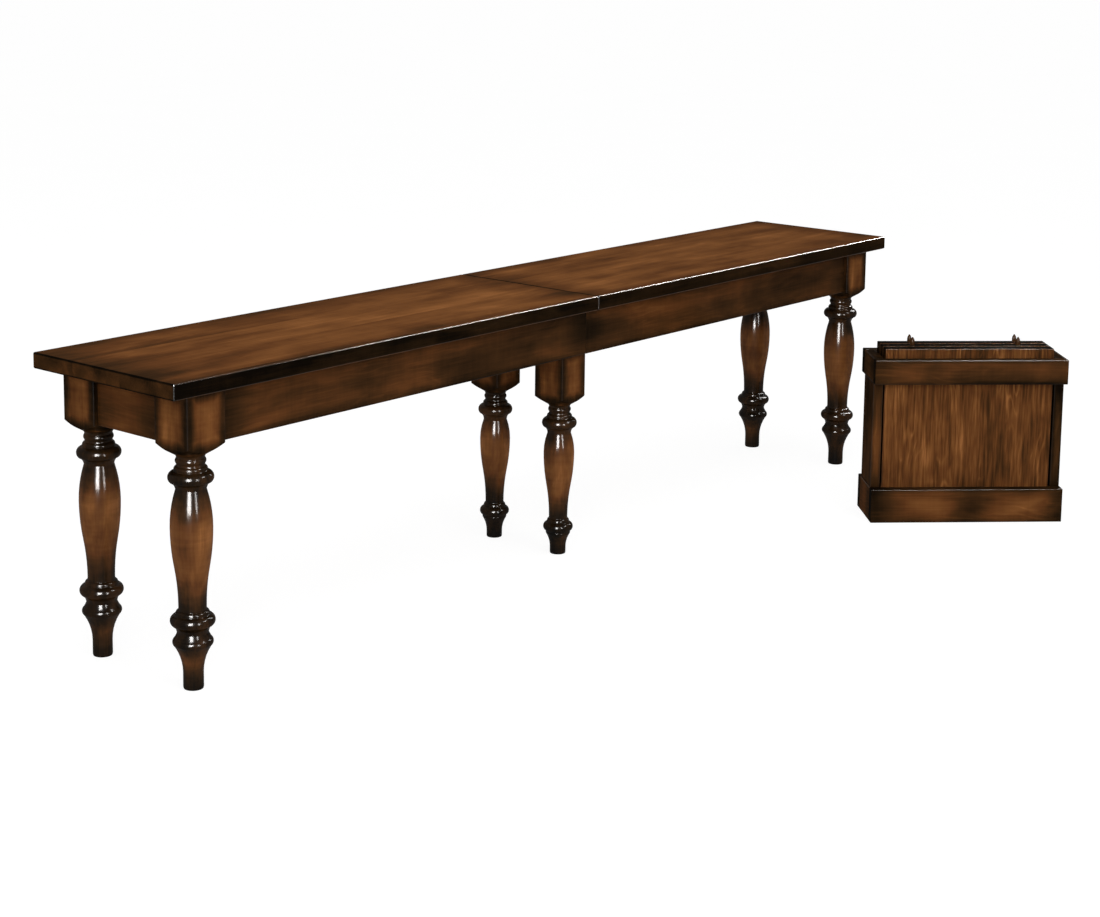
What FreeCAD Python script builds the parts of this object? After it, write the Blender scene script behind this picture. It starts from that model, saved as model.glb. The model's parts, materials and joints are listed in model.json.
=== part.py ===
import FreeCAD, Part
import math
import os
import Sketcher

# An extension bench on turned legs, with the leaves that lengthen it in their storage box.
# The frame: X along the bench, the open side of the box to -Y, Z up, the origin on the floor
# midway between the two centre legs. All sizes are in millimetres and degrees.

SIZES = {
    # Seat: two boards that meet at the middle
    "seat_height": 460.0,
    "half_length": 914.4,
    "seat_depth": 310.0,
    "top_thickness": 24.0,
    "top_ease": 2.5,
    "seam_gap": 0.6,
    # End legs and aprons
    "leg_block": 69.0,
    "end_overhang": 38.5,
    "side_overhang": 18.8,
    "apron_height": 78.0,
    "apron_thickness": 20.0,
    "apron_setback": 7.0,
    "tenon_thickness": 8.0,
    "tenon_length": 20.0,
    "tenon_shoulder": 9.0,
    "joint_clearance": 0.2,
    "blank_allowance": 1.0,
    # Corner braces and the bolts that hold the end legs
    "brace_thickness": 16.0,
    "brace_height": 60.0,
    "brace_gap": 0.3,
    "bolt_radius": 4.0,
    "bolt_bite": 30.0,
    "bolt_end": 12.0,
    "bolt_clearance": 0.15,
    "nut_radius": 7.5,
    "nut_height": 6.5,
    # Slides: a tongued rail under each half runs in a grooved rail of the centre frame
    "rail_thickness": 24.0,
    "rail_end_inset": 176.0,
    "rail_seam_inset": 4.0,
    "tongue_height": 12.0,
    "tongue_depth": 8.0,
    "slide_clearance": 0.4,
    "centre_rail_step": 3.4,
    "centre_rail_drop": 0.8,
    "under_rail_gap": 1.0,
    "stop_plate_length": 30.0,
    "stop_plate_thickness": 3.0,
    "stop_peg_length": 20.0,
    "stop_peg_height": 5.0,
    # Centre legs and the bolster that carries the slides
    "centre_block": 61.0,
    "centre_block_height": 80.0,
    "centre_leg_gap": 5.7,
    "bolster_length": 90.0,
    "bolster_thickness": 32.0,
    "bolster_end_gap": 5.0,
    # Equaliser: one gear between two racks, so that both halves travel alike
    "gear_module": 3.0,
    "gear_teeth": 16.0,
    "gear_pressure_angle": 25.0,
    "gear_addendum": 2.4,
    "gear_dedendum": 3.0,
    "gear_backlash": 0.15,
    "gear_thickness": 9.0,
    "axle_radius": 5.0,
    "axle_clearance": 0.05,
    "axle_head_radius": 8.0,
    "axle_head_height": 4.0,
    "axle_depth": 26.0,
    "plate_thickness": 2.0,
    "plate_length": 80.0,
    "plate_flange": 8.0,
    "rack_clearance": 0.4,
    "rack_back": 10.0,
    "rack_height": 8.6,
    "rack_teeth_outward": 5.0,
    "rack_teeth_spare": 3.0,
    "rack_block_length": 100.0,
    "rack_block_start": 60.0,
    "rack_block_width": 34.0,
    # Screws
    "screw_radius": 2.1,
    "screw_head_radius": 4.0,
    "screw_head_height": 2.6,
    "screw_bite": 15.0,
    "screw_grip": 16.0,
    "leg_screw_radius": 3.0,
    "leg_screw_head_radius": 6.0,
    "leg_screw_head_height": 4.0,
    "leg_screw_bite": 45.0,
    # Leaves and their alignment pins
    "leaf_width": 304.8,
    "leaf_count": 3.0,
    "pin_radius": 4.0,
    "pin_reach": 15.0,
    "pin_bite": 18.0,
    "pin_spread": 98.0,
    "pin_clearance": 0.5,
    "pin_tip": 3.0,
    # Storage box for the leaves, turned to face the viewer
    "box_x": 520.6,
    "box_y": -380.7,
    "box_turn": -46.3,
    "box_height": 302.0,
    "box_board_thickness": 19.0,
    "box_side_thickness": 17.5,
    "box_base_height": 62.0,
    "box_rim_height": 45.0,
    "box_floor_thickness": 12.0,
    "box_floor_lift": 2.0,
    "leaf_gap": 1.5,
    "leaf_end_gap": 3.0,
}

# The turned outline of each kind of leg. The upper part is listed downwards from the square
# block and the lower part upwards from the floor: the distance, the radius there, and how far
# the stretch since the last station swells out (or hollows in, where negative).
END_UPPER = [
    (14.5, 25.0, 0),
    (19.6, 20.3, -0.8),
    (21.6, 20.3, 0),
    (29.2, 20.6, 1.5),
    (33.0, 20.8, -0.5),
    (39.2, 23.6, 1.4),
    (40.2, 24.2, 0),
    (56.0, 29.9, 5.3),
    (63.0, 23.0, -1.2),
    (66.0, 21.9, 0),
    (67.6, 22.2, 0),
]
END_LOWER = [
    (4.0, 14.7, 0.2),
    (24.0, 14.6, 0),
    (62.0, 25.4, -2.7),
    (64.0, 26.8, 0),
    (74.5, 26.6, 2.4),
    (83.0, 22.4, -0.3),
    (86.5, 23.2, 0),
    (93.5, 28.6, -0.9),
    (109.2, 24.8, 5.3),
    (110.2, 24.2, 0),
    (116.0, 20.1, 1.4),
]
END_VASE = {"belly_drop": 121.7, "belly_radius": 30.3, "waist_height": 121.0, "waist_radius": 19.9}
END_FOOT = 13.9
CENTRE_UPPER = [
    (13.5, 21.5, 0),
    (18.5, 17.9, -0.7),
    (19.9, 17.9, 0),
    (27.1, 18.2, 1.4),
    (31.0, 18.4, -0.4),
    (37.3, 21.4, 1.3),
    (38.1, 22.0, 0),
    (53.7, 27.4, 4.9),
    (60.7, 21.0, -1.0),
    (64.5, 20.2, 0),
    (66.0, 20.4, 0),
]
CENTRE_LOWER = [
    (3.0, 13.6, 0.2),
    (12.0, 13.7, 0),
    (35.0, 20.2, -1.6),
    (39.0, 20.9, 0.5),
    (42.0, 23.4, -0.4),
    (55.6, 19.6, 4.0),
    (56.5, 19.0, 0),
    (62.5, 16.0, 1.2),
]
CENTRE_VASE = {"belly_drop": 99.5, "belly_radius": 26.3, "waist_height": 66.0, "waist_radius": 15.9}
CENTRE_FOOT = 13.0

document = FreeCAD.newDocument("extension_bench")
sheet = document.addObject("Spreadsheet::Sheet", "sizes")
nodes = []


def enter(alias, number):
    """Writes one driving dimension into the next row of the sheet."""
    row = len(rows) + 1
    rows.append(alias)
    sheet.set(f"A{row}", alias)
    sheet.set(f"B{row}", str(number))
    sheet.setAlias(f"B{row}", alias)


rows = []
for alias, number in SIZES.items():
    enter(alias, number)


def enter_turning(kind, upper, lower, vase, foot):
    """Writes a turned outline into the sheet, one alias for each number."""
    for part, stations in (("upper", upper), ("lower", lower)):
        for index, (distance, radius, swell) in enumerate(stations):
            enter(f"{kind}_{part}_distance_{index}", distance)
            enter(f"{kind}_{part}_radius_{index}", radius)
            enter(f"{kind}_{part}_swell_{index}", swell)
    for name, number in vase.items():
        enter(f"{kind}_{name}", number)
    enter(f"{kind}_foot_radius", foot)


enter_turning("end", END_UPPER, END_LOWER, END_VASE, END_FOOT)
enter_turning("centre", CENTRE_UPPER, CENTRE_LOWER, CENTRE_VASE, CENTRE_FOOT)
document.recompute()

# Places worked out from the sheet, as expressions
UNDERSIDE = "(sizes.seat_height - sizes.top_thickness)"
BLOCK_BOTTOM = f"({UNDERSIDE} - sizes.apron_height)"
BLOCK_FACE_X = "(sizes.half_length - sizes.end_overhang)"
BLOCK_FACE_Y = "(sizes.seat_depth / 2 - sizes.side_overhang)"
LEG_X = f"({BLOCK_FACE_X} - sizes.leg_block / 2)"
LEG_Y = f"({BLOCK_FACE_Y} - sizes.leg_block / 2)"
BLOCK_INNER_X = f"({BLOCK_FACE_X} - sizes.leg_block)"
BLOCK_INNER_Y = f"({BLOCK_FACE_Y} - sizes.leg_block)"
APRON_FACE_Y = f"({BLOCK_FACE_Y} - sizes.apron_setback)"
APRON_INNER_Y = f"({APRON_FACE_Y} - sizes.apron_thickness)"
APRON_FACE_X = f"({BLOCK_FACE_X} - sizes.apron_setback)"
APRON_INNER_X = f"({APRON_FACE_X} - sizes.apron_thickness)"
SEAM = "(sizes.seam_gap / 2)"
HALF_TRAVEL = "(sizes.leaf_width * sizes.leaf_count / 2)"
BOLSTER_TOP = f"({BLOCK_BOTTOM} + sizes.bolster_thickness)"
HALF_RAIL_BOTTOM = f"({BOLSTER_TOP} + sizes.under_rail_gap)"
HALF_RAIL_INNER = f"({APRON_INNER_Y} - sizes.rail_thickness)"
CENTRE_RAIL_OUTER = f"({HALF_RAIL_INNER} - sizes.slide_clearance)"
CENTRE_RAIL_INNER = f"({CENTRE_RAIL_OUTER} - sizes.rail_thickness)"
CENTRE_RAIL_TOP = f"({UNDERSIDE} - sizes.centre_rail_drop)"
TONGUE_LEVEL = f"(({HALF_RAIL_BOTTOM} + {UNDERSIDE}) / 2)"
RAIL_START = "(sizes.half_length - sizes.rail_end_inset)"
CENTRE_RAIL_END = f"({RAIL_START} - sizes.centre_rail_step)"
RAIL_LINE = f"({CENTRE_RAIL_OUTER} - sizes.rail_thickness / 2)"
STOP_FACE = f"({CENTRE_RAIL_END} - sizes.stop_plate_length)"
CENTRE_LEG_Y = f"({APRON_INNER_Y} - sizes.centre_leg_gap - sizes.centre_block / 2)"
LEG_SCREW_LINE = f"({CENTRE_RAIL_INNER} - sizes.leg_screw_head_radius - 2)"
SNUG = "sizes.joint_clearance / 2"
PLATE_TOP = f"({BOLSTER_TOP} + sizes.plate_thickness)"
RACK_BOTTOM = f"({PLATE_TOP} + sizes.rack_clearance)"
RACK_TOP = f"({RACK_BOTTOM} + sizes.rack_height)"
PITCH_RADIUS = "(sizes.gear_module * sizes.gear_teeth / 2)"
RACK_TIP = f"({PITCH_RADIUS} - sizes.gear_addendum)"
RACK_ROOT = f"({PITCH_RADIUS} + sizes.gear_dedendum)"
RACK_BACK = f"({RACK_ROOT} + sizes.rack_back)"
TOOTH_PITCH = "(pi * sizes.gear_module)"
TEETH_INWARD = f"(ceil({HALF_TRAVEL} / {TOOTH_PITCH}) + sizes.rack_teeth_spare)"
BRACE_NEAR = f"({BLOCK_INNER_X} + {BLOCK_INNER_Y} - sizes.brace_gap * sqrt(2))"
BRACE_FAR = f"({BRACE_NEAR} - sizes.brace_thickness * sqrt(2))"
BOLT_LEVEL = f"({UNDERSIDE} - sizes.apron_height / 2)"
BOX_WIDTH = "(sizes.seat_depth + 2 * sizes.leaf_end_gap + 2 * sizes.box_board_thickness)"
BOX_DEPTH = (
    "(2 * sizes.box_board_thickness + sizes.leaf_count * sizes.top_thickness"
    " + (sizes.leaf_count + 1) * sizes.leaf_gap)"
)
LEAF_FLOOR = "(sizes.box_floor_lift + sizes.box_floor_thickness)"


def value(expression):
    """The number that an expression over the sheet gives."""
    found = sheet.evalExpression(expression)
    return float(getattr(found, "Value", found))


def bind(thing, **expressions):
    """Binds properties to expressions; x, y and z mean the placement's base."""
    for name, expression in expressions.items():
        path = f".Placement.Base.{name}" if name in ("x", "y", "z") else name
        thing.setExpression(path, expression)
    return thing


def negated(expression):
    return f"-({expression})"


# Primitives and booleans


def block(name, low, high):
    """A rectangular block between two corners."""
    box = document.addObject("Part::Box", name)
    for index, size in enumerate(("Length", "Width", "Height")):
        box.setExpression(size, f"{high[index]} - ({low[index]})")
    return bind(box, x=low[0], y=low[1], z=low[2])


def rod(name, radius, length, base, direction=(0, 0, 1)):
    """A cylinder from a base point along a direction."""
    cylinder = document.addObject("Part::Cylinder", name)
    turn = FreeCAD.Rotation(FreeCAD.Vector(0, 0, 1), FreeCAD.Vector(*direction))
    cylinder.Placement = FreeCAD.Placement(FreeCAD.Vector(0, 0, 0), turn)
    cylinder.setExpression("Radius", radius)
    cylinder.setExpression("Height", length)
    return bind(cylinder, x=base[0], y=base[1], z=base[2])


def group(name, members):
    """Several solids that stay apart, held as one thing."""
    compound = document.addObject("Part::Compound", name)
    compound.Links = members
    return compound


def fused(name, members):
    fusion = document.addObject("Part::MultiFuse", name)
    fusion.Shapes = members
    return fusion


def cut(name, base, tools):
    """The base with every tool's space taken out of it."""
    result = document.addObject("Part::Cut", name)
    result.Base = base
    result.Tool = tools[0] if len(tools) == 1 else group(f"{name}_tools", tools)
    return result


def keep(label, thing, turned=False):
    """Names a finished piece; a turned one is carried half a turn about the bench's centre."""
    thing.Label = label
    if turned:
        half_turn = FreeCAD.Rotation(FreeCAD.Vector(0, 0, 1), 180)
        thing.Placement = FreeCAD.Placement(FreeCAD.Vector(0, 0, 0), half_turn)
    nodes.append(thing)
    return thing


# Sketched bodies


def origin_plane(body, role):
    for feature in body.Origin.OriginFeatures:
        if feature.Role == role:
            return feature
    raise ValueError(f"{body.Label} has no {role}")


def swelling(start, end, swell):
    """The arc from start to end whose middle stands out by swell to the left of the way.
    Also says whether the arc's own start is the way's end."""
    chord = end - start
    radius = chord.Length**2 / (8 * abs(swell)) + abs(swell) / 2
    left = FreeCAD.Vector(-chord.y, chord.x, 0).normalize()
    side = math.copysign(1, swell)
    centre = (start + end) / 2 - left * side * (radius - abs(swell))
    circle = Part.Circle(centre, FreeCAD.Vector(0, 0, 1), radius)
    first = math.atan2(start.y - centre.y, start.x - centre.x)
    last = math.atan2(end.y - centre.y, end.x - centre.x)
    if swell > 0:
        return Part.ArcOfCircle(circle, last, first), True
    return Part.ArcOfCircle(circle, first, last), False


def held(number, position, kind, expression):
    """The constraint that holds one end of an edge at a distance from the sketch's origin."""
    if expression == "0":
        axis = -2 if kind == "DistanceX" else -1
        return Sketcher.Constraint("PointOnObject", number, position, axis)
    return Sketcher.Constraint(kind, -1, 1, number, position, value(expression))


def draw(sketch, stations):
    """Adds one closed outline. A station is an x and a y, and the swell of the stretch that
    leads to it where that stretch is an arc; all are expressions over the sheet."""
    points = [FreeCAD.Vector(value(station[0]), value(station[1]), 0) for station in stations]
    edges = []
    for index, station in enumerate(stations):
        start, end = points[index - 1], points[index]
        if len(station) > 2 and abs(value(station[2])) > 0:
            shape, backwards = swelling(start, end, value(station[2]))
        else:
            shape, backwards = Part.LineSegment(start, end), False
        number = sketch.addGeometry(shape, False)
        edges.append((number, 2, 1) if backwards else (number, 1, 2))
    constraints = []
    expressions = []
    for index, (number, _, last) in enumerate(edges):
        following, first, _ = edges[(index + 1) % len(edges)]
        constraints.append(Sketcher.Constraint("Coincident", number, last, following, first))
        expressions.append(None)
        for kind, expression in zip(("DistanceX", "DistanceY"), stations[index]):
            constraints.append(held(number, last, kind, expression))
            expressions.append(None if expression == "0" else expression)
        if len(stations[index]) > 2 and abs(value(stations[index][2])) > 0:
            swell = f"abs({stations[index][2]})"
            (x_from, y_from), (x_to, y_to) = stations[index - 1][:2], stations[index][:2]
            chord = f"(({x_to} - ({x_from}))^2 + ({y_to} - ({y_from}))^2)"
            radius = f"{chord} / (8 * {swell}) + {swell} / 2"
            constraints.append(Sketcher.Constraint("Radius", number, value(radius)))
            expressions.append(radius)
    added = sketch.addConstraint(constraints)
    for row, expression in zip(added, expressions):
        if expression:
            sketch.setExpression(f"Constraints[{row}]", expression)


def outline(body, name, role, *loops):
    """A sketch on one of the body's own origin planes."""
    sketch = body.newObject("Sketcher::SketchObject", name)
    sketch.AttachmentSupport = [(origin_plane(body, role), "")]
    sketch.MapMode = "FlatFace"
    for stations in loops:
        draw(sketch, stations)
    return sketch


def rectangle(low, high):
    return [(low[0], low[1]), (high[0], low[1]), (high[0], high[1]), (low[0], high[1])]


def padded(name, role, stations, length):
    """A body made by raising one outline by a length."""
    body = document.addObject("PartDesign::Body", name)
    sketch = outline(body, f"{name}_outline", role, stations)
    pad = body.newObject("PartDesign::Pad", f"{name}_pad")
    pad.Profile = sketch
    pad.setExpression("Length", length)
    document.recompute()
    return body


def eased(body, radius, axis=2):
    """Rounds the edges round the body's highest face along an axis."""
    base = body.Tip
    faces = base.Shape.Faces
    highest = max(range(len(faces)), key=lambda index: faces[index].CenterOfMass[axis])
    rounding = body.newObject("PartDesign::Fillet", f"{body.Name}_ease")
    rounding.Base = (base, [f"Face{highest + 1}"])
    rounding.setExpression("Radius", radius)
    body.Tip = rounding
    document.recompute()
    return body


# Turned legs


def turned_outline(kind, top, block_bottom, half_diagonal):
    """Stations of a leg's outline from the top of its axis down to the floor. The long vase
    between the upper and the lower rings takes whatever height those leave: it swells from
    the neck to the belly and runs in a double curve down to the waist."""
    upper, lower = (END_UPPER, END_LOWER) if kind == "end" else (CENTRE_UPPER, CENTRE_LOWER)
    blank = f"({half_diagonal} + sizes.blank_allowance)"
    stations = [("0", top), (blank, top), (blank, block_bottom)]
    for index in range(len(upper)):
        height = f"({block_bottom} - sizes.{kind}_upper_distance_{index})"
        radius = f"sizes.{kind}_upper_radius_{index}"
        stations.append((radius, height, f"sizes.{kind}_upper_swell_{index}"))
    neck_radius, neck_height = stations[-1][:2]
    belly_height = f"({block_bottom} - sizes.{kind}_belly_drop)"
    belly_radius = f"sizes.{kind}_belly_radius"
    waist_height = f"sizes.{kind}_waist_height"
    waist_radius = f"sizes.{kind}_waist_radius"
    # An arc that ends upright stands out from its chord by a share of its own rise
    rise = f"({belly_radius} - {neck_radius})"
    run = f"({neck_height} - {belly_height})"
    stations.append((belly_radius, belly_height, upright_swell(rise, run)))
    fall = f"(({belly_radius} - {waist_radius}) / 2)"
    reach = f"(({belly_height} - {waist_height}) / 2)"
    bend = (f"({waist_radius} + {fall})", f"({waist_height} + {reach})")
    stations.append((*bend, upright_swell(fall, reach)))
    stations.append((waist_radius, waist_height, f"-{upright_swell(fall, reach)}"))
    for index in reversed(range(len(lower))):
        height = f"sizes.{kind}_lower_distance_{index}"
        radius = f"sizes.{kind}_lower_radius_{index}"
        swell = f"sizes.{kind}_lower_swell_{index + 1}" if index + 1 < len(lower) else "0"
        stations.append((radius, height, swell))
    stations.append((f"sizes.{kind}_foot_radius", "0", f"sizes.{kind}_lower_swell_0"))
    stations.append(("0", "0"))
    return stations


def upright_swell(rise, run):
    """How far an arc stands out from its chord where one end is upright: with radius R
    = (rise^2 + run^2) / (2 rise), that is R - sqrt(R^2 - chord^2 / 4)."""
    chord = f"({rise}^2 + {run}^2)"
    radius = f"({chord} / (2 * {rise}))"
    return f"({radius} - sqrt({radius}^2 - {chord} / 4))"


def turned_leg(name, kind, top, block_bottom, block_size):
    """A leg turned from a square blank, which stays square above the block's bottom."""
    half_diagonal = f"({block_size} / sqrt(2))"
    body = document.addObject("PartDesign::Body", f"{name}_turning")
    stations = turned_outline(kind, top, block_bottom, half_diagonal)
    sketch = outline(body, f"{name}_profile", "XZ_Plane", stations)
    turning = body.newObject("PartDesign::Revolution", f"{name}_revolution")
    turning.Profile = sketch
    turning.ReferenceAxis = (sketch, ["V_Axis"])
    turning.Angle = 360
    low = (f"-{block_size} / 2", f"-{block_size} / 2", "0")
    high = (f"{block_size} / 2", f"{block_size} / 2", top)
    square = document.addObject("Part::Common", name)
    square.Base = body
    square.Tool = block(f"{name}_blank", low, high)
    return square


def end_leg(label, side_x, side_y, turn):
    """An end leg with the mortises of its two aprons and the hole of its bolt. It is drawn
    for the corner at -X and -Y and turned for the others."""
    leg = turned_leg(f"{label}_leg", "end", UNDERSIDE, BLOCK_BOTTOM, "sizes.leg_block")
    clearance = "sizes.joint_clearance"
    half = "sizes.leg_block / 2"
    inner = f"{half} - sizes.apron_setback - sizes.apron_thickness / 2"
    near = f"-({inner}) - sizes.tenon_thickness / 2 - {clearance}"
    far = f"-({inner}) + sizes.tenon_thickness / 2 + {clearance}"
    bottom = f"{BLOCK_BOTTOM} + sizes.tenon_shoulder - {clearance}"
    top = f"{UNDERSIDE} - sizes.tenon_shoulder + {clearance}"
    depth = f"{half} - sizes.tenon_length - {clearance}"
    mortise_x = block(f"{label}_mortise_x", (depth, near, bottom), (half, far, top))
    mortise_y = block(f"{label}_mortise_y", (near, depth, bottom), (far, half, top))
    start = f"{half} - sizes.bolt_bite / sqrt(2)"
    hole_radius = "sizes.bolt_radius + sizes.bolt_clearance"
    hole = rod(f"{label}_bolt_hole", hole_radius, "sizes.bolt_bite * 2",
               (start, start, BOLT_LEVEL), (1, 1, 0))
    shaped = cut(f"{label}_shaped", leg, [mortise_x, mortise_y, hole])
    shaped.Placement = FreeCAD.Placement(
        FreeCAD.Vector(0, 0, 0), FreeCAD.Rotation(FreeCAD.Vector(0, 0, 1), turn)
    )
    bind(shaped, x=f"{side_x} * {LEG_X}", y=f"{side_y} * {LEG_Y}")
    return keep(label, shaped)


def centre_leg(label, side):
    """A centre leg with the holes of the two screws that hold it under the bolster."""
    block_bottom = f"({BLOCK_BOTTOM} - sizes.centre_block_height)"
    leg = turned_leg(f"{label}_leg", "centre", BLOCK_BOTTOM, block_bottom, "sizes.centre_block")
    holes = []
    for index, x in enumerate(leg_screw_places()):
        base = (x, f"{side} * ({LEG_SCREW_LINE} - {CENTRE_LEG_Y})",
                f"{BLOCK_BOTTOM} - sizes.leg_screw_bite")
        holes.append(rod(f"{label}_hole_{index}", f"sizes.leg_screw_radius + {SNUG}",
                         "sizes.leg_screw_bite + 1", base))
    shaped = cut(f"{label}_shaped", leg, holes)
    bind(shaped, y=f"{side} * {CENTRE_LEG_Y}")
    return keep(label, shaped)


def leg_screw_places():
    return ["-sizes.centre_block / 4", "sizes.centre_block / 4"]


# Screws


def screw(name, size, bite, grip, tip, upwards):
    """A screw whose head lies grip below (or above) the face it bites into. Its tip point is
    given; upwards says which way it is driven."""
    length = f"{bite} + {grip}"
    x, y, z = tip
    head_radius = f"sizes.{size}_head_radius"
    head_height = f"sizes.{size}_head_height"
    if upwards:
        shank_base = f"{z} - ({length})"
        head_base = f"{z} - ({length}) - {head_height}"
    else:
        shank_base = z
        head_base = f"{z} + {length}"
    shank = rod(f"{name}_shank", f"sizes.{size}_radius", length, (x, y, shank_base))
    head = rod(f"{name}_head", head_radius, head_height, (x, y, head_base))
    return fused(name, [shank, head])


# One half of the bench: its places are drawn for the half at -X


def mirrored(side, low, high):
    """The Y span from low to high on the +Y side, or its mirror image on the -Y side."""
    return (low, high) if side > 0 else (negated(high), negated(low))


def end_name(turned, side):
    return "back" if (side > 0) != turned else "front"


def top_board(half, turned, rail_holes):
    """A seat board with eased upper edges, the holes of its rail screws and of the pins."""
    low = ("-sizes.half_length", "-sizes.seat_depth / 2")
    high = (f"-{SEAM}", "sizes.seat_depth / 2")
    body = padded(f"{half}_board", "XY_Plane", rectangle(low, high), "sizes.top_thickness")
    eased(body, "sizes.top_ease")
    bind(body, z=UNDERSIDE)
    holes = list(rail_holes)
    for side in (-1, 1):
        base = (f"-{SEAM} - {pin_hole_depth(turned)}", f"{side} * sizes.pin_spread",
                f"{UNDERSIDE} + sizes.top_thickness / 2")
        radius = f"sizes.pin_radius + {SNUG if turned else 'sizes.pin_clearance'}"
        name = f"{half}_pin_hole_{'front' if side < 0 else 'back'}"
        holes.append(rod(name, radius, f"{pin_hole_depth(turned)} + 1", base, (1, 0, 0)))
    keep(f"{half}_top", cut(f"{half}_top_shaped", body, holes), turned)


def pin_hole_depth(glued):
    """A glued pin fills its hole, and a free one has room past its tip."""
    return "sizes.pin_bite" if glued else "(sizes.pin_reach + 3)"


def aprons(half, turned):
    """The two long aprons and the end apron, each with a tenon in every leg that it meets."""
    inset = "sizes.tenon_shoulder"
    for side in (-1, 1):
        y_low, y_high = mirrored(side, APRON_INNER_Y, APRON_FACE_Y)
        name = f"{half}_apron_{end_name(turned, side)}"
        board = block(f"{name}_board", (f"-{BLOCK_INNER_X}", y_low, BLOCK_BOTTOM),
                      (f"-{SEAM}", y_high, UNDERSIDE))
        middle = f"({y_low} + {y_high}) / 2"
        tenon = block(
            f"{name}_tenon",
            (f"-{BLOCK_INNER_X} - sizes.tenon_length", f"{middle} - sizes.tenon_thickness / 2",
             f"{BLOCK_BOTTOM} + {inset}"),
            (f"-{BLOCK_INNER_X}", f"{middle} + sizes.tenon_thickness / 2",
             f"{UNDERSIDE} - {inset}"),
        )
        keep(name, fused(f"{name}_joined", [board, tenon]), turned)
    name = f"{half}_apron_end"
    board = block(f"{name}_board", (f"-{APRON_FACE_X}", f"-{BLOCK_INNER_Y}", BLOCK_BOTTOM),
                  (f"-{APRON_INNER_X}", BLOCK_INNER_Y, UNDERSIDE))
    middle = f"-({APRON_FACE_X} + {APRON_INNER_X}) / 2"
    reach = f"({BLOCK_INNER_Y} + sizes.tenon_length)"
    tenon = block(
        f"{name}_tenon",
        (f"{middle} - sizes.tenon_thickness / 2", f"-{reach}", f"{BLOCK_BOTTOM} + {inset}"),
        (f"{middle} + sizes.tenon_thickness / 2", reach, f"{UNDERSIDE} - {inset}"),
    )
    keep(name, fused(f"{name}_joined", [board, tenon]), turned)


def braces_and_bolts(half, turned):
    """The block across each corner, the bolt through it into the leg, and the bolt's nut."""
    braces = []
    bolts = []
    for side in (-1, 1):
        place = "front" if side < 0 else "back"
        name = f"{half}_brace_{place}"
        corners = []
        for line in (BRACE_NEAR, BRACE_FAR):
            corners.append((f"{APRON_INNER_Y} - {line}", f"{side} * {APRON_INNER_Y}"))
            corners.append((f"-{APRON_INNER_X}", f"{side} * ({line} - {APRON_INNER_X})"))
        stations = [corners[0], corners[1], corners[3], corners[2]]
        body = padded(name, "XY_Plane", stations, "sizes.brace_height")
        bind(body, z=f"{BOLT_LEVEL} - sizes.brace_height / 2")
        start = (f"-{BLOCK_INNER_X} - sizes.bolt_bite / sqrt(2) + 1",
                 f"{side} * ({BLOCK_INNER_Y} + sizes.bolt_bite / sqrt(2) - 1)", BOLT_LEVEL)
        direction = (1, -side, 0)
        length = "sizes.bolt_bite + sizes.brace_gap + sizes.brace_thickness + sizes.bolt_end"
        hole_radius = "sizes.bolt_radius + sizes.bolt_clearance"
        hole = rod(f"{name}_hole", hole_radius, f"{length} + 10", start, direction)
        braces.append(cut(f"{name}_bored", body, [hole]))
        bolts.append(rod(f"{name}_bolt", "sizes.bolt_radius", length, start, direction))
        bolts.append(nut(f"{name}_nut", side, direction))
    keep(f"{half}_corner_braces", group(f"{half}_braces", braces), turned)
    keep(f"{half}_leg_bolts", group(f"{half}_bolts", bolts), turned)


def nut(name, side, direction):
    """A hexagonal nut against the inner face of a corner brace."""
    hexagon = document.addObject("Part::Prism", name)
    hexagon.Polygon = 6
    turn = FreeCAD.Rotation(FreeCAD.Vector(0, 0, 1), FreeCAD.Vector(*direction))
    hexagon.Placement = FreeCAD.Placement(FreeCAD.Vector(0, 0, 0), turn)
    hexagon.setExpression("Circumradius", "sizes.nut_radius")
    hexagon.setExpression("Height", "sizes.nut_height")
    reach = "(sizes.brace_gap + sizes.brace_thickness) / sqrt(2)"
    x = f"-{BLOCK_INNER_X} + {reach}"
    y = f"{side} * ({BLOCK_INNER_Y} - {reach})"
    bind(hexagon, x=x, y=y, z=BOLT_LEVEL)
    bore = rod(f"{name}_bore", f"sizes.bolt_radius + {SNUG}", "sizes.nut_height",
               (x, y, BOLT_LEVEL), direction)
    return cut(f"{name}_bored", hexagon, [bore])


def rail_screw_places():
    """Where the screws of a half's rail stand along it."""
    first = f"(-{RAIL_START} + sizes.rail_thickness)"
    last = "(-sizes.rail_seam_inset - 4 * sizes.rail_thickness)"
    return [first, f"({first} + {last}) / 2", last]


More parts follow.
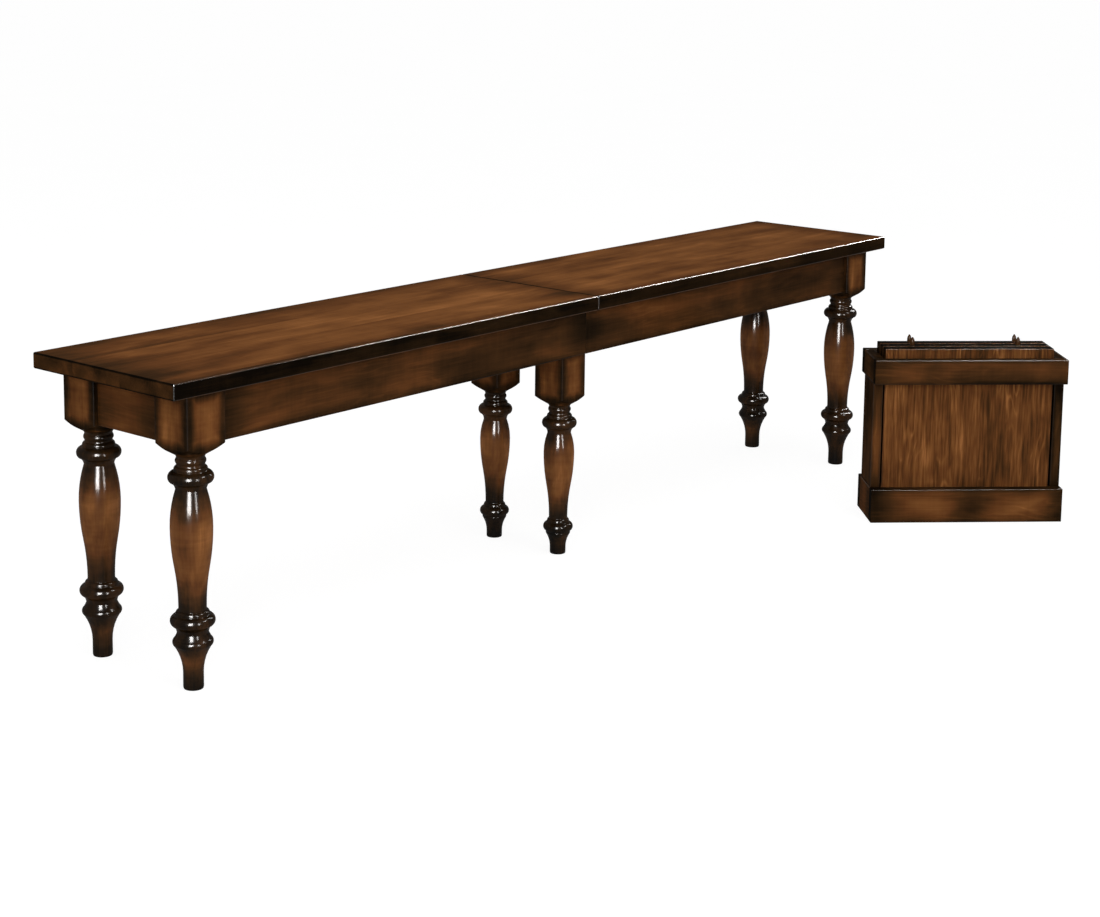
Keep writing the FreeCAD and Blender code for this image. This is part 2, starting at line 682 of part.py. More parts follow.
def half_rails(half, turned):
    """The tongued rails under a seat board, their screws, and the pegs that stop them.
    Gives the holes that the screws need in the board."""
    screws = []
    pegs = []
    board_holes = []
    line = f"({APRON_INNER_Y} - sizes.rail_thickness / 2)"
    for side in (-1, 1):
        name = f"{half}_rail_{end_name(turned, side)}"
        outer = f"{side} * {APRON_INNER_Y}"
        inner = f"{side} * {HALF_RAIL_INNER}"
        tongue = f"{side} * ({HALF_RAIL_INNER} - sizes.tongue_depth)"
        tongue_low = f"{TONGUE_LEVEL} - sizes.tongue_height / 2"
        tongue_high = f"{TONGUE_LEVEL} + sizes.tongue_height / 2"
        stations = [(outer, HALF_RAIL_BOTTOM), (inner, HALF_RAIL_BOTTOM), (inner, tongue_low),
                    (tongue, tongue_low), (tongue, tongue_high), (inner, tongue_high),
                    (inner, UNDERSIDE), (outer, UNDERSIDE)]
        body = padded(f"{name}_body", "YZ_Plane", stations,
                      f"{RAIL_START} - sizes.rail_seam_inset")
        bind(body, x=f"-{RAIL_START}")
        tools = []
        for index, x in enumerate(rail_screw_places()):
            place = (x, f"{side} * {line}")
            number = f"{name}_{index}"
            well_top = f"{UNDERSIDE} - sizes.screw_grip"
            well = rod(f"{number}_well", "sizes.screw_head_radius + 0.5",
                       f"{well_top} - {HALF_RAIL_BOTTOM}", (*place, HALF_RAIL_BOTTOM))
            through = rod(f"{number}_through", f"sizes.screw_radius + {SNUG}",
                          "sizes.screw_grip + 2", (*place, f"{well_top} - 1"))
            tools.append(fused(f"{number}_bore", [well, through]))
            pilot = rod(f"{number}_pilot", f"sizes.screw_radius + {SNUG}",
                        "sizes.screw_bite + 1", (*place, f"{UNDERSIDE} - 1"))
            board_holes.append(pilot)
            tip = (*place, f"{UNDERSIDE} + sizes.screw_bite")
            screws.append(screw(f"{number}_screw", "screw", "sizes.screw_bite",
                                "sizes.screw_grip", tip, True))
        keep(name, cut(f"{name}_bored", body, tools), turned)
        y_low, y_high = mirrored(side, HALF_RAIL_INNER, APRON_INNER_Y)
        face = f"(-{STOP_FACE} + {HALF_TRAVEL} + sizes.joint_clearance)"
        pegs.append(block(f"{name}_peg",
                          (face, y_low, f"{HALF_RAIL_BOTTOM} - sizes.stop_peg_height"),
                          (f"{face} + sizes.stop_peg_length", y_high, HALF_RAIL_BOTTOM)))
    keep(f"{half}_rail_screws", group(f"{half}_rail_screw_set", screws), turned)
    keep(f"{half}_stop_pegs", group(f"{half}_peg_pair", pegs), turned)
    return board_holes


def rack(half, turned):
    """The toothed bar that a half pushes or pulls past the gear, and the block it hangs from.
    The bar stands beside the gear on the -Y side; its teeth point at the gear."""
    body = document.addObject("PartDesign::Body", f"{half}_rack_body")
    outward = f"(sizes.rack_block_start + sizes.rack_block_length)"
    inward = f"(({TEETH_INWARD} + 0.5) * {TOOTH_PITCH})"
    bar = outline(body, f"{half}_rack_bar", "XY_Plane",
                  rectangle((f"-{outward}", f"-{RACK_BACK}"), (inward, f"-{RACK_TIP}")))
    pad = body.newObject("PartDesign::Pad", f"{half}_rack_pad")
    pad.Profile = bar
    pad.setExpression("Length", "sizes.rack_height")
    document.recompute()
    # A gap between teeth is widest at the tips and narrows by the flank's slope
    slope = "tan(sizes.gear_pressure_angle)"
    at_pitch = f"({TOOTH_PITCH} / 4 + sizes.gear_backlash)"
    at_tip = f"({at_pitch} + sizes.gear_addendum * {slope})"
    at_root = f"({at_pitch} - sizes.gear_dedendum * {slope})"
    first = f"(sizes.rack_teeth_outward * {TOOTH_PITCH})"
    stations = [
        (f"-{first} - {at_tip}", f"-{RACK_TIP}"), (f"-{first} - {at_root}", f"-{RACK_ROOT}"),
        (f"-{first} + {at_root}", f"-{RACK_ROOT}"), (f"-{first} + {at_tip}", f"-{RACK_TIP}"),
    ]
    gap = outline(body, f"{half}_rack_gap", "XY_Plane", stations)
    pocket = body.newObject("PartDesign::Pocket", f"{half}_rack_first_gap")
    pocket.Profile = gap
    pocket.Type = 1
    pocket.Reversed = True
    document.recompute()
    pattern = body.newObject("PartDesign::LinearPattern", f"{half}_rack_gaps")
    pattern.Originals = [pocket]
    pattern.Direction = (gap, ["H_Axis"])
    count = f"(sizes.rack_teeth_outward + {TEETH_INWARD} + 1)"
    pattern.setExpression("Length", f"({count} - 1) * {TOOTH_PITCH}")
    pattern.setExpression("Occurrences", count)
    body.Tip = pattern
    bind(body, z=RACK_BOTTOM)
    document.recompute()
    middle = f"(({RACK_ROOT} + {RACK_BACK}) / 2)"
    screws = []
    bar_holes = []
    block_holes = []
    for index, share in enumerate((0.25, 0.75)):
        place = (f"-sizes.rack_block_start - {share} * sizes.rack_block_length", f"-{middle}")
        number = f"{half}_rack_{index}"
        bar_holes.append(rod(f"{number}_through", f"sizes.screw_radius + {SNUG}",
                             "sizes.rack_height + 2", (*place, f"{RACK_BOTTOM} - 1")))
        bar_holes.append(rod(f"{number}_sink", "sizes.screw_head_radius + 0.2",
                             "sizes.screw_head_height + 0.2", (*place, RACK_BOTTOM)))
        block_holes.append(rod(f"{number}_pilot", f"sizes.screw_radius + {SNUG}",
                               "sizes.screw_bite + 1", (*place, f"{RACK_TOP} - 1")))
        grip = "(sizes.rack_height - sizes.screw_head_height - 0.2)"
        tip = (*place, f"{RACK_TOP} + sizes.screw_bite")
        screws.append(screw(f"{number}_screw", "screw", "sizes.screw_bite", grip, tip, True))
    bores = fused(f"{half}_rack_bores", bar_holes)
    keep(f"{half}_rack", cut(f"{half}_rack_bored", body, [bores]), turned)
    hanger = block(
        f"{half}_rack_hanger",
        (f"-sizes.rack_block_start - sizes.rack_block_length",
         f"-{RACK_BACK} - 4", RACK_TOP),
        ("-sizes.rack_block_start", f"-{RACK_BACK} - 4 + sizes.rack_block_width", UNDERSIDE),
    )
    keep(f"{half}_rack_block", cut(f"{half}_hanger_bored", hanger, block_holes), turned)
    return screws


def make_half(half, turned):
    """Everything that slides as one body with one seat board."""
    sign = 1 if turned else -1
    for side in (-1, 1):
        place = end_name(turned, side)
        side_y = -side if turned else side
        turn = {(-1, -1): 0, (-1, 1): -90, (1, 1): 180, (1, -1): 90}[(sign, side_y)]
        end_leg(f"{half}_leg_{place}", sign, side_y, turn)
    aprons(half, turned)
    braces_and_bolts(half, turned)
    board_holes = half_rails(half, turned)
    screws = rack(half, turned)
    keep(f"{half}_rack_screws", group(f"{half}_rack_screw_pair", screws), turned)
    top_board(half, turned, board_holes)


# The centre frame


def centre_rail(label, side):
    """A rail along the whole bench, grooved on its outer face for the tongues of both halves,
    with the holes of the screws that come up through the bolster."""
    clearance = "sizes.slide_clearance"
    outer = f"{side} * {CENTRE_RAIL_OUTER}"
    inner = f"{side} * {CENTRE_RAIL_INNER}"
    groove = f"{side} * ({CENTRE_RAIL_OUTER} - sizes.tongue_depth - {clearance})"
    low = f"{TONGUE_LEVEL} - sizes.tongue_height / 2 - {clearance}"
    high = f"{TONGUE_LEVEL} + sizes.tongue_height / 2 + {clearance}"
    stations = [(outer, BOLSTER_TOP), (inner, BOLSTER_TOP), (inner, CENTRE_RAIL_TOP),
                (outer, CENTRE_RAIL_TOP), (outer, high), (groove, high), (groove, low),
                (outer, low)]
    body = padded(f"{label}_body", "YZ_Plane", stations, f"2 * {CENTRE_RAIL_END}")
    bind(body, x=f"-{CENTRE_RAIL_END}")
    holes = []
    for index, (x, _) in enumerate(bolster_screw_places()):
        holes.append(rod(f"{label}_pilot_{index}", f"sizes.screw_radius + {SNUG}",
                         "sizes.screw_bite + 1",
                         (x, f"{side} * {RAIL_LINE}", f"{BOLSTER_TOP} - 1")))
    return keep(label, cut(f"{label}_bored", body, holes))


def bolster_screw_places():
    """The screws beside the legs, as an X and a side of the bench."""
    x = "(sizes.bolster_length / 2 - sizes.screw_head_radius - 2)"
    return [(negated(x), "left"), (x, "right")]


def centre_frame():
    """The bolster across the bench, the legs below it, the rails and the gear plate on it."""
    bolster_y = f"({APRON_INNER_Y} - sizes.bolster_end_gap)"
    half_bolster = "sizes.bolster_length / 2"
    beam = block("bolster_beam", (f"-{half_bolster}", f"-{bolster_y}", BLOCK_BOTTOM),
                 (half_bolster, bolster_y, BOLSTER_TOP))
    tools = [rod("bolster_axle_hole", f"sizes.axle_radius + {SNUG}", "sizes.axle_depth + 1",
                 ("0", "0", f"{BOLSTER_TOP} - sizes.axle_depth"))]
    leg_screws = []
    rail_screws = []
    for side in (-1, 1):
        place = "front" if side < 0 else "back"
        for index, x in enumerate(leg_screw_places()):
            name = f"leg_screw_{place}_{index}"
            spot = (x, f"{side} * {LEG_SCREW_LINE}")
            head_seat = f"{BOLSTER_TOP} - sizes.leg_screw_head_height - 0.5"
            through = rod(f"{name}_through", f"sizes.leg_screw_radius + {SNUG}",
                          "sizes.bolster_thickness + 2", (*spot, f"{BLOCK_BOTTOM} - 1"))
            sink = rod(f"{name}_sink", "sizes.leg_screw_head_radius + 0.5",
                       "sizes.leg_screw_head_height + 1", (*spot, head_seat))
            tools.append(fused(f"{name}_bore", [through, sink]))
            grip = f"(sizes.bolster_thickness - sizes.leg_screw_head_height - 0.5)"
            tip = (*spot, f"{BLOCK_BOTTOM} - sizes.leg_screw_bite")
            leg_screws.append(screw(name, "leg_screw", "sizes.leg_screw_bite", grip, tip, False))
        for index, (x, _) in enumerate(bolster_screw_places()):
            name = f"bolster_screw_{place}_{index}"
            spot = (x, f"{side} * {RAIL_LINE}")
            well_top = f"{BOLSTER_TOP} - sizes.screw_grip"
            well = rod(f"{name}_well", "sizes.screw_head_radius + 0.5",
                       f"{well_top} - {BLOCK_BOTTOM} + 1", (*spot, f"{BLOCK_BOTTOM} - 1"))
            through = rod(f"{name}_through", f"sizes.screw_radius + {SNUG}",
                          "sizes.screw_grip + 2", (*spot, f"{well_top} - 1"))
            tools.append(fused(f"{name}_bore", [well, through]))
            tip = (*spot, f"{BOLSTER_TOP} + sizes.screw_bite")
            rail_screws.append(screw(name, "screw", "sizes.screw_bite", "sizes.screw_grip",
                                     tip, True))
    keep("centre_bolster", cut("bolster_bored", beam, tools))
    keep("centre_leg_screws", group("leg_screw_set", leg_screws))
    keep("bolster_screws", group("bolster_screw_set", rail_screws))
    for side, place in ((-1, "front"), (1, "back")):
        centre_leg(f"centre_leg_{place}", side)
        centre_rail(f"centre_rail_{place}", side)


def gear_plate():
    """A plate on the bolster whose upturned flanges keep the racks in mesh."""
    inside = f"({RACK_BACK} + sizes.rack_clearance)"
    outside = f"({inside} + sizes.plate_thickness)"
    flange_top = f"({PLATE_TOP} + sizes.plate_flange)"
    stations = [(f"-{outside}", BOLSTER_TOP), (outside, BOLSTER_TOP), (outside, flange_top),
                (inside, flange_top), (inside, PLATE_TOP), (f"-{inside}", PLATE_TOP),
                (f"-{inside}", flange_top), (f"-{outside}", flange_top)]
    body = padded("plate_body", "YZ_Plane", stations, "sizes.plate_length")
    bind(body, x="-sizes.plate_length / 2")
    hole = rod("plate_hole", f"sizes.axle_radius + {SNUG}", "sizes.plate_thickness + 2",
               ("0", "0", f"{BOLSTER_TOP} - 1"))
    keep("gear_plate", cut("plate_bored", body, [hole]))


def gear_axle():
    """The shoulder bolt that the gear turns on, with its head above the gear."""
    length = "(sizes.axle_depth + sizes.plate_thickness + 2 * sizes.rack_clearance + sizes.gear_thickness)"
    base = f"{BOLSTER_TOP} - sizes.axle_depth"
    shank = rod("axle_shank", "sizes.axle_radius", length, ("0", "0", base))
    head = rod("axle_head", "sizes.axle_head_radius", "sizes.axle_head_height",
               ("0", "0", f"{base} + {length}"))
    keep("gear_axle", fused("axle", [shank, head]))


def equaliser_gear():
    """A spur gear with involute flanks, cut out of a disc one tooth space at a time. At radius
    r a space's half angle is that on the pitch circle plus inv(acos(base / r)) - inv(a), where
    a is the pressure angle and inv(a) = tan a - a."""
    body = document.addObject("PartDesign::Body", "gear_body")
    tip = f"({PITCH_RADIUS} + sizes.gear_addendum)"
    root = f"({PITCH_RADIUS} - sizes.gear_dedendum)"
    base = f"({PITCH_RADIUS} * cos(sizes.gear_pressure_angle))"
    start = f"({base} > {root} ? {base} : {root})"
    disc = body.newObject("PartDesign::AdditiveCylinder", "gear_disc")
    disc.setExpression("Radius", tip)
    disc.setExpression("Height", "sizes.gear_thickness")
    document.recompute()
    radii = [start, f"(({start} + {PITCH_RADIUS}) / 2)", PITCH_RADIUS, tip]
    lower = []
    for radius in radii:
        angle = f"acos({base} / {radius})"
        spread = f"tan({angle}) - {angle} / 1 deg * pi / 180"
        allowance = "tan(sizes.gear_pressure_angle) - sizes.gear_pressure_angle * pi / 180"
        widening = f"(sizes.gear_backlash / {PITCH_RADIUS} + {spread} - ({allowance}))"
        half = f"(90 / sizes.gear_teeth + {widening} * 180 / pi)"
        lower.append((f"{radius} * cos({half})", f"-{radius} * sin({half})"))
    foot = (root, lower[0][1])
    mouth = (f"{tip} + 1", lower[-1][1])
    lower = [foot, *lower, mouth]
    stations = lower + [(x, y[1:]) for x, y in reversed(lower)]
    space = outline(body, "gear_space", "XY_Plane", stations)
    pocket = body.newObject("PartDesign::Pocket", "gear_first_space")
    pocket.Profile = space
    pocket.Type = 1
    pocket.Reversed = True
    document.recompute()
    pattern = body.newObject("PartDesign::PolarPattern", "gear_spaces")
    pattern.Originals = [pocket]
    pattern.Axis = (space, ["N_Axis"])
    pattern.Angle = 360
    pattern.setExpression("Occurrences", "sizes.gear_teeth")
    body.Tip = pattern
    document.recompute()
    bore = rod("gear_bore", "sizes.axle_radius + sizes.axle_clearance", "sizes.gear_thickness",
               ("0", "0", "0"))
    gear = cut("gear", body, [bore])
    # A tooth points along +Y and another along -Y, into the gaps of the two racks
    gear.Placement = FreeCAD.Placement(
        FreeCAD.Vector(0, 0, 0), FreeCAD.Rotation(FreeCAD.Vector(0, 0, 1), 90)
    )
    gear.setExpression(".Placement.Rotation.Angle", "90 + 180 / sizes.gear_teeth")
    bind(gear, z=RACK_BOTTOM)
    keep("equaliser_gear", gear)


def stop_plates():
    """A plate under each end of the centre rails, which the halves' pegs meet when open."""
    plates = []
    for side_x in (-1, 1):
        for side_y in (-1, 1):
            x_low, x_high = mirrored(side_x, STOP_FACE, CENTRE_RAIL_END)
            y_low, y_high = mirrored(side_y, CENTRE_RAIL_INNER, APRON_INNER_Y)
            name = f"stop_plate_{len(plates)}"
            low = (x_low, y_low, f"{BOLSTER_TOP} - sizes.stop_plate_thickness")
            plates.append(block(name, low, (x_high, y_high, BOLSTER_TOP)))
    keep("slide_stop_plates", group("stop_plate_set", plates))


def pointed_pin(name, radius, length, tip, base, direction):
    """A round pin with a chamfered tip."""
    shaft = rod(f"{name}_shaft", radius, f"{length} - {tip}", base, direction)
    cone = document.addObject("Part::Cone", f"{name}_tip")
    turn = FreeCAD.Rotation(FreeCAD.Vector(0, 0, 1), FreeCAD.Vector(*direction))
    cone.Placement = FreeCAD.Placement(FreeCAD.Vector(0, 0, 0), turn)
    cone.setExpression("Radius1", radius)
    cone.setExpression("Radius2", f"{radius} / 2")
    cone.setExpression("Height", tip)
    ends = [f"{start} + ({part}) * ({length} - {tip})" for start, part in zip(base, direction)]
    bind(cone, x=ends[0], y=ends[1], z=ends[2])
    return fused(name, [shaft, cone])


def seam_pins():
    """The two pins in the right half's seam edge, which reach into the left half."""
    pins = []
    for side in (-1, 1):
        base = (f"{SEAM} + sizes.pin_bite", f"{side} * sizes.pin_spread",
                f"{UNDERSIDE} + sizes.top_thickness / 2")
        pins.append(pointed_pin(f"seam_pin_{'front' if side < 0 else 'back'}",
                                "sizes.pin_radius", "sizes.pin_bite + sizes.pin_reach",
                                "sizes.pin_tip", base, (-1, 0, 0)))
    keep("right_seam_pins", group("seam_pin_pair", pins))


# The storage box: its pieces are drawn with its front left foot at the origin


def into_box_place(thing):
    """Turns a piece of the box to where the box stands."""
    turn = FreeCAD.Rotation(FreeCAD.Vector(0, 0, 1), SIZES["box_turn"])
    thing.Placement = FreeCAD.Placement(FreeCAD.Vector(0, 0, 0), turn)
    thing.setExpression(".Placement.Rotation.Angle", "sizes.box_turn")
    return bind(thing, x="sizes.box_x", y="sizes.box_y")


def box_piece(label, low, high):
    inner = block(f"{label}_board", low, high)
    keep(label, into_box_place(group(f"{label}_placed", [inner])))


def storage_box():
    """Four boards round the foot and four round the rim, two side panels between the side
    boards and flush with their inner faces, and the floor that the leaves stand on."""
    board = "sizes.box_board_thickness"
    width = BOX_WIDTH
    rim_bottom = "(sizes.box_height - sizes.box_rim_height)"
    for band, low, high in (("base", "0", "sizes.box_base_height"),
                            ("rim", rim_bottom, "sizes.box_height")):
        box_piece(f"box_{band}_front", ("0", "0", low), (width, board, high))
        box_piece(f"box_{band}_back", ("0", f"{BOX_DEPTH} - {board}", low),
                  (width, BOX_DEPTH, high))
        box_piece(f"box_{band}_left", ("0", board, low), (board, f"{BOX_DEPTH} - {board}", high))
        box_piece(f"box_{band}_right", (f"{width} - {board}", board, low),
                  (width, f"{BOX_DEPTH} - {board}", high))
    reveal = f"({board} - sizes.box_side_thickness)"
    front, back = board, f"{BOX_DEPTH} - {board}"
    box_piece("box_side_left", (reveal, front, "sizes.box_base_height"),
              (board, back, rim_bottom))
    box_piece("box_side_right", (f"{width} - {board}", front, "sizes.box_base_height"),
              (f"{width} - {reveal}", back, rim_bottom))
    box_piece("box_floor", (board, board, "sizes.box_floor_lift"),
              (f"{width} - {board}", f"{BOX_DEPTH} - {board}", LEAF_FLOOR))


def leaf(label, index, pins_up):
    """An extension leaf that stands on the box's floor, with its pins and pin holes."""
    start = f"(sizes.box_board_thickness + sizes.leaf_gap + {index} * (sizes.top_thickness + sizes.leaf_gap))"
    left = "(sizes.box_board_thickness + sizes.leaf_end_gap)"
    top = f"({LEAF_FLOOR} + sizes.leaf_width)"
    board = block(f"{label}_board", (left, start, LEAF_FLOOR),
                  (f"{left} + sizes.seat_depth", f"{start} + sizes.top_thickness", top))
    holes = []
    pins = []
    for side in (-1, 1):
        place = (f"{BOX_WIDTH} / 2 + {side} * sizes.pin_spread",
                 f"{start} + sizes.top_thickness / 2")
        name = f"{label}_{'left' if side < 0 else 'right'}"
        free = f"{LEAF_FLOOR} - 1"
        free_hole = "sizes.pin_reach + 4"
        holes.append(rod(f"{name}_free_hole", "sizes.pin_radius + sizes.pin_clearance",
                         free_hole, (*place, free)))
        if pins_up:
            glued = rod(f"{name}_glued_hole", f"sizes.pin_radius + {SNUG}",
                        "sizes.pin_bite + 1", (*place, f"{top} - sizes.pin_bite"))
            holes.append(glued)
            pins.append(pointed_pin(f"{name}_pin", "sizes.pin_radius",
                                    "sizes.pin_bite + sizes.pin_reach", "sizes.pin_tip",
                                    (*place, f"{top} - sizes.pin_bite"), (0, 0, 1)))
    keep(label, into_box_place(cut(f"{label}_bored", board, holes)))
    if pins:
        keep(f"{label}_pins", into_box_place(group(f"{label}_pin_pair", pins)))


def write_parts():
    """Checks the whole document, then writes one file for each node."""
    document.recompute()
    for thing in document.Objects:
        bad = [state for state in thing.State if state in ("Invalid", "Error")]
        if bad:
            raise ValueError(f"{thing.Label}: {bad}")
    os.makedirs("parts", exist_ok=True)
    labels = [node.Label for node in nodes]
    if len(set(labels)) != len(labels):
        raise ValueError("two nodes share a name")
    for node in nodes:
        if node.Shape.isNull() or not node.Shape.isValid():
            raise ValueError(f"{node.Label} has no valid shape")
    for node in nodes:
        node.Shape.exportStep(f"parts/{node.Label}.step")
    print(len(nodes), "nodes written")


centre_frame()
gear_plate()
gear_axle()
equaliser_gear()
stop_plates()
make_half("left", False)
make_half("right", True)
seam_pins()
storage_box()
leaf("front_leaf", 0, False)
leaf("middle_leaf", 1, True)
leaf("back_leaf", 2, True)
write_parts()
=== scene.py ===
import json
import math
from dataclasses import dataclass

import bpy
import numpy as np
from bpy.props import FloatProperty, FloatVectorProperty, IntProperty, PointerProperty
from mathutils import Matrix, Vector


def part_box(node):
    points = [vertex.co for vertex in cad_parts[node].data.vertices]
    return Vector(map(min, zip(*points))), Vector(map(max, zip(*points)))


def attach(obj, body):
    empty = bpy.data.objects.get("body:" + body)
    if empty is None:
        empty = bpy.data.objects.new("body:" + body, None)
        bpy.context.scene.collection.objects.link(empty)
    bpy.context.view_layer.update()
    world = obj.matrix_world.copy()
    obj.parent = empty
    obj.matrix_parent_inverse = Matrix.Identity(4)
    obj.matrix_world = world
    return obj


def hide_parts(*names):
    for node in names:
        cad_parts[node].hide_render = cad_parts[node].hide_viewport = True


bl_info = {
    "name": "Extension Bench",
    "version": (1, 0, 0),
    "blender": (4, 5, 0),
    "location": "View3D > Sidebar > Bench",
    "description": "Turned legs, boards, finishes and studio for an extension bench and its leaf box",
    "category": "Add Mesh",
}

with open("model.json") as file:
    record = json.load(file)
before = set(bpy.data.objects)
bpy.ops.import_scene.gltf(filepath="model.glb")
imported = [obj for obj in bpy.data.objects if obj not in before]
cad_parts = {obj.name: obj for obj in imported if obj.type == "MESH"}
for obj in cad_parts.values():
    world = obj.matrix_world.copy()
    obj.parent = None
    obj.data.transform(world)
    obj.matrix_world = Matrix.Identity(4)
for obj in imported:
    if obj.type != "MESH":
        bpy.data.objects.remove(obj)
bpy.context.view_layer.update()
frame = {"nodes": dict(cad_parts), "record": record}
SLOTS = {part["node"]: part["material_slot"] for part in frame["record"]["subparts"]}
BODIES = {
    node: body
    for body, members in frame["record"]["behaviour"]["bodies"].items()
    for node in members
}
HALVES = ("left", "right")
SIDES = ("front", "back")

# The turn from which a corner of a turned outline counts as sharp and holds glaze
SHARP_TURN = math.radians(12)
# The glaze reaches this much less far along a leg's block than along its turned part
BLOCK_MARGIN = 3.2
# What the margin across the grain says on a turned part: more than on any flat face
TURNED_MARGIN = 1.0
# The reach of a patch of stain along an axis on which it doesn't fade
WIDE = 9.0

# Where the storage box stands: its front left foot, and its turn about the vertical
BOX_FOOT = (0.5206, -0.3807, 0.0)
BOX_TURN = math.radians(-46.3)

# The turned outlines in metres. The upper part is listed downwards from the square block and
# the lower part upwards from the floor: the distance, the radius there, and how far the stretch
# on the block's or the floor's side of the station swells out (or hollows in, where negative).
END_UPPER = (
    (0.0145, 0.0250, 0),
    (0.0196, 0.0203, -0.0008),
    (0.0216, 0.0203, 0),
    (0.0292, 0.0206, 0.0015),
    (0.0330, 0.0208, -0.0005),
    (0.0392, 0.0236, 0.0014),
    (0.0402, 0.0242, 0),
    (0.0560, 0.0299, 0.0053),
    (0.0630, 0.0230, -0.0012),
    (0.0660, 0.0219, 0),
    (0.0676, 0.0222, 0),
)
END_LOWER = (
    (0.0040, 0.0147, 0.0002),
    (0.0240, 0.0146, 0),
    (0.0620, 0.0254, -0.0027),
    (0.0640, 0.0268, 0),
    (0.0745, 0.0266, 0.0024),
    (0.0830, 0.0224, -0.0003),
    (0.0865, 0.0232, 0),
    (0.0935, 0.0286, -0.0009),
    (0.1092, 0.0248, 0.0053),
    (0.1102, 0.0242, 0),
    (0.1160, 0.0201, 0.0014),
)
CENTRE_UPPER = (
    (0.0135, 0.0215, 0),
    (0.0185, 0.0179, -0.0007),
    (0.0199, 0.0179, 0),
    (0.0271, 0.0182, 0.0014),
    (0.0310, 0.0184, -0.0004),
    (0.0373, 0.0214, 0.0013),
    (0.0381, 0.0220, 0),
    (0.0537, 0.0274, 0.0049),
    (0.0607, 0.0210, -0.0010),
    (0.0645, 0.0202, 0),
    (0.0660, 0.0204, 0),
)
CENTRE_LOWER = (
    (0.0030, 0.0136, 0.0002),
    (0.0120, 0.0137, 0),
    (0.0350, 0.0202, -0.0016),
    (0.0390, 0.0209, 0.0005),
    (0.0420, 0.0234, -0.0004),
    (0.0556, 0.0196, 0.0040),
    (0.0565, 0.0190, 0),
    (0.0625, 0.0160, 0.0012),
)


@dataclass
class Turning:
    """One kind of turned leg: its outline, its vase, its foot and the height of its block."""

    upper: tuple
    lower: tuple
    belly_drop: float
    belly_radius: float
    waist_height: float
    waist_radius: float
    foot_radius: float
    block_height: float
    belly_tone: float

    def patches(self, top):
        """The stain is thinner round the vase just above its belly and thicker at the foot."""
        belly = top - self.block_height - self.belly_drop
        return (
            ((0.0, 0.0, belly + 0.012), (WIDE, WIDE, 0.035), self.belly_tone),
            ((0.0, 0.0, 0.0), (WIDE, WIDE, 0.07), -0.14),
        )


END_LEG = Turning(END_UPPER, END_LOWER, 0.1217, 0.0303, 0.1210, 0.0199, 0.0139, 0.078, 0.08)
CENTRE_LEG = Turning(
    CENTRE_UPPER, CENTRE_LOWER, 0.0995, 0.0263, 0.0660, 0.0159, 0.0130, 0.080, 0.30)


class BenchShape(bpy.types.PropertyGroup):
    seat_ease: FloatProperty(
        name="Seat Edge Radius", description="Rounding of the seat boards' edges",
        default=0.0025, min=0.0002, unit="LENGTH")
    board_ease: FloatProperty(
        name="Board Edge Radius", description="Rounding of aprons, box boards and leaves",
        default=0.0012, min=0.0002, unit="LENGTH")
    block_ease: FloatProperty(
        name="Block Edge Radius", description="Rounding of the legs' square corners",
        default=0.0012, min=0.0002, unit="LENGTH")
    turning_ease: FloatProperty(
        name="Turning Edge Radius", description="Rounding where two turned curves meet",
        default=0.0003, min=0.00005, unit="LENGTH")
    blank_allowance: FloatProperty(
        name="Blank Allowance", description="How far the shoulder's cone starts outside the block",
        default=0.001, min=0.0, unit="LENGTH")
    columns_per_face: IntProperty(
        name="Columns per Face", description="Grid columns on each face of a leg's block",
        default=26, min=6)
    lattice_spacing: FloatProperty(
        name="Lattice Spacing", description="Distance between grid lines on a board",
        default=0.008, min=0.004, unit="LENGTH")
    pin_radius: FloatProperty(
        name="Pin Radius", description="Radius of the alignment pins",
        default=0.004, min=0.001, unit="LENGTH")
    pin_nose: FloatProperty(
        name="Pin Nose", description="Length of an alignment pin's pointed nose",
        default=0.0095, min=0.001, unit="LENGTH")
    pin_spread: FloatProperty(
        name="Pin Spread", description="Distance of each alignment pin from the middle of its board",
        default=0.098, min=0.01, unit="LENGTH")
    pin_hole_radius: FloatProperty(
        name="Pin Hole Radius", description="Radius of the holes that take the pins",
        default=0.0045, min=0.001, unit="LENGTH")
    pin_hole_depth: FloatProperty(
        name="Pin Hole Depth", description="Depth of the holes that take the pins",
        default=0.018, min=0.002, unit="LENGTH")


class BenchFinish(bpy.types.PropertyGroup):
    black: FloatVectorProperty(
        name="Black", description="Glaze in the deepest recesses",
        subtype="COLOR", default=(0.004, 0.0026, 0.0014))
    umber: FloatVectorProperty(
        name="Umber", description="Glaze along edges and under rings",
        subtype="COLOR", default=(0.020, 0.0102, 0.0040))
    brown: FloatVectorProperty(
        name="Brown", description="Darkest stain on open wood",
        subtype="COLOR", default=(0.056, 0.0238, 0.0080))
    chestnut: FloatVectorProperty(
        name="Chestnut", description="Usual stain on open wood",
        subtype="COLOR", default=(0.125, 0.0450, 0.0135))
    russet: FloatVectorProperty(
        name="Russet", description="Stain where the wood took less of it",
        subtype="COLOR", default=(0.215, 0.0820, 0.0240))
    amber: FloatVectorProperty(
        name="Amber", description="Lightest figure in the stained wood",
        subtype="COLOR", default=(0.355, 0.1400, 0.0430))


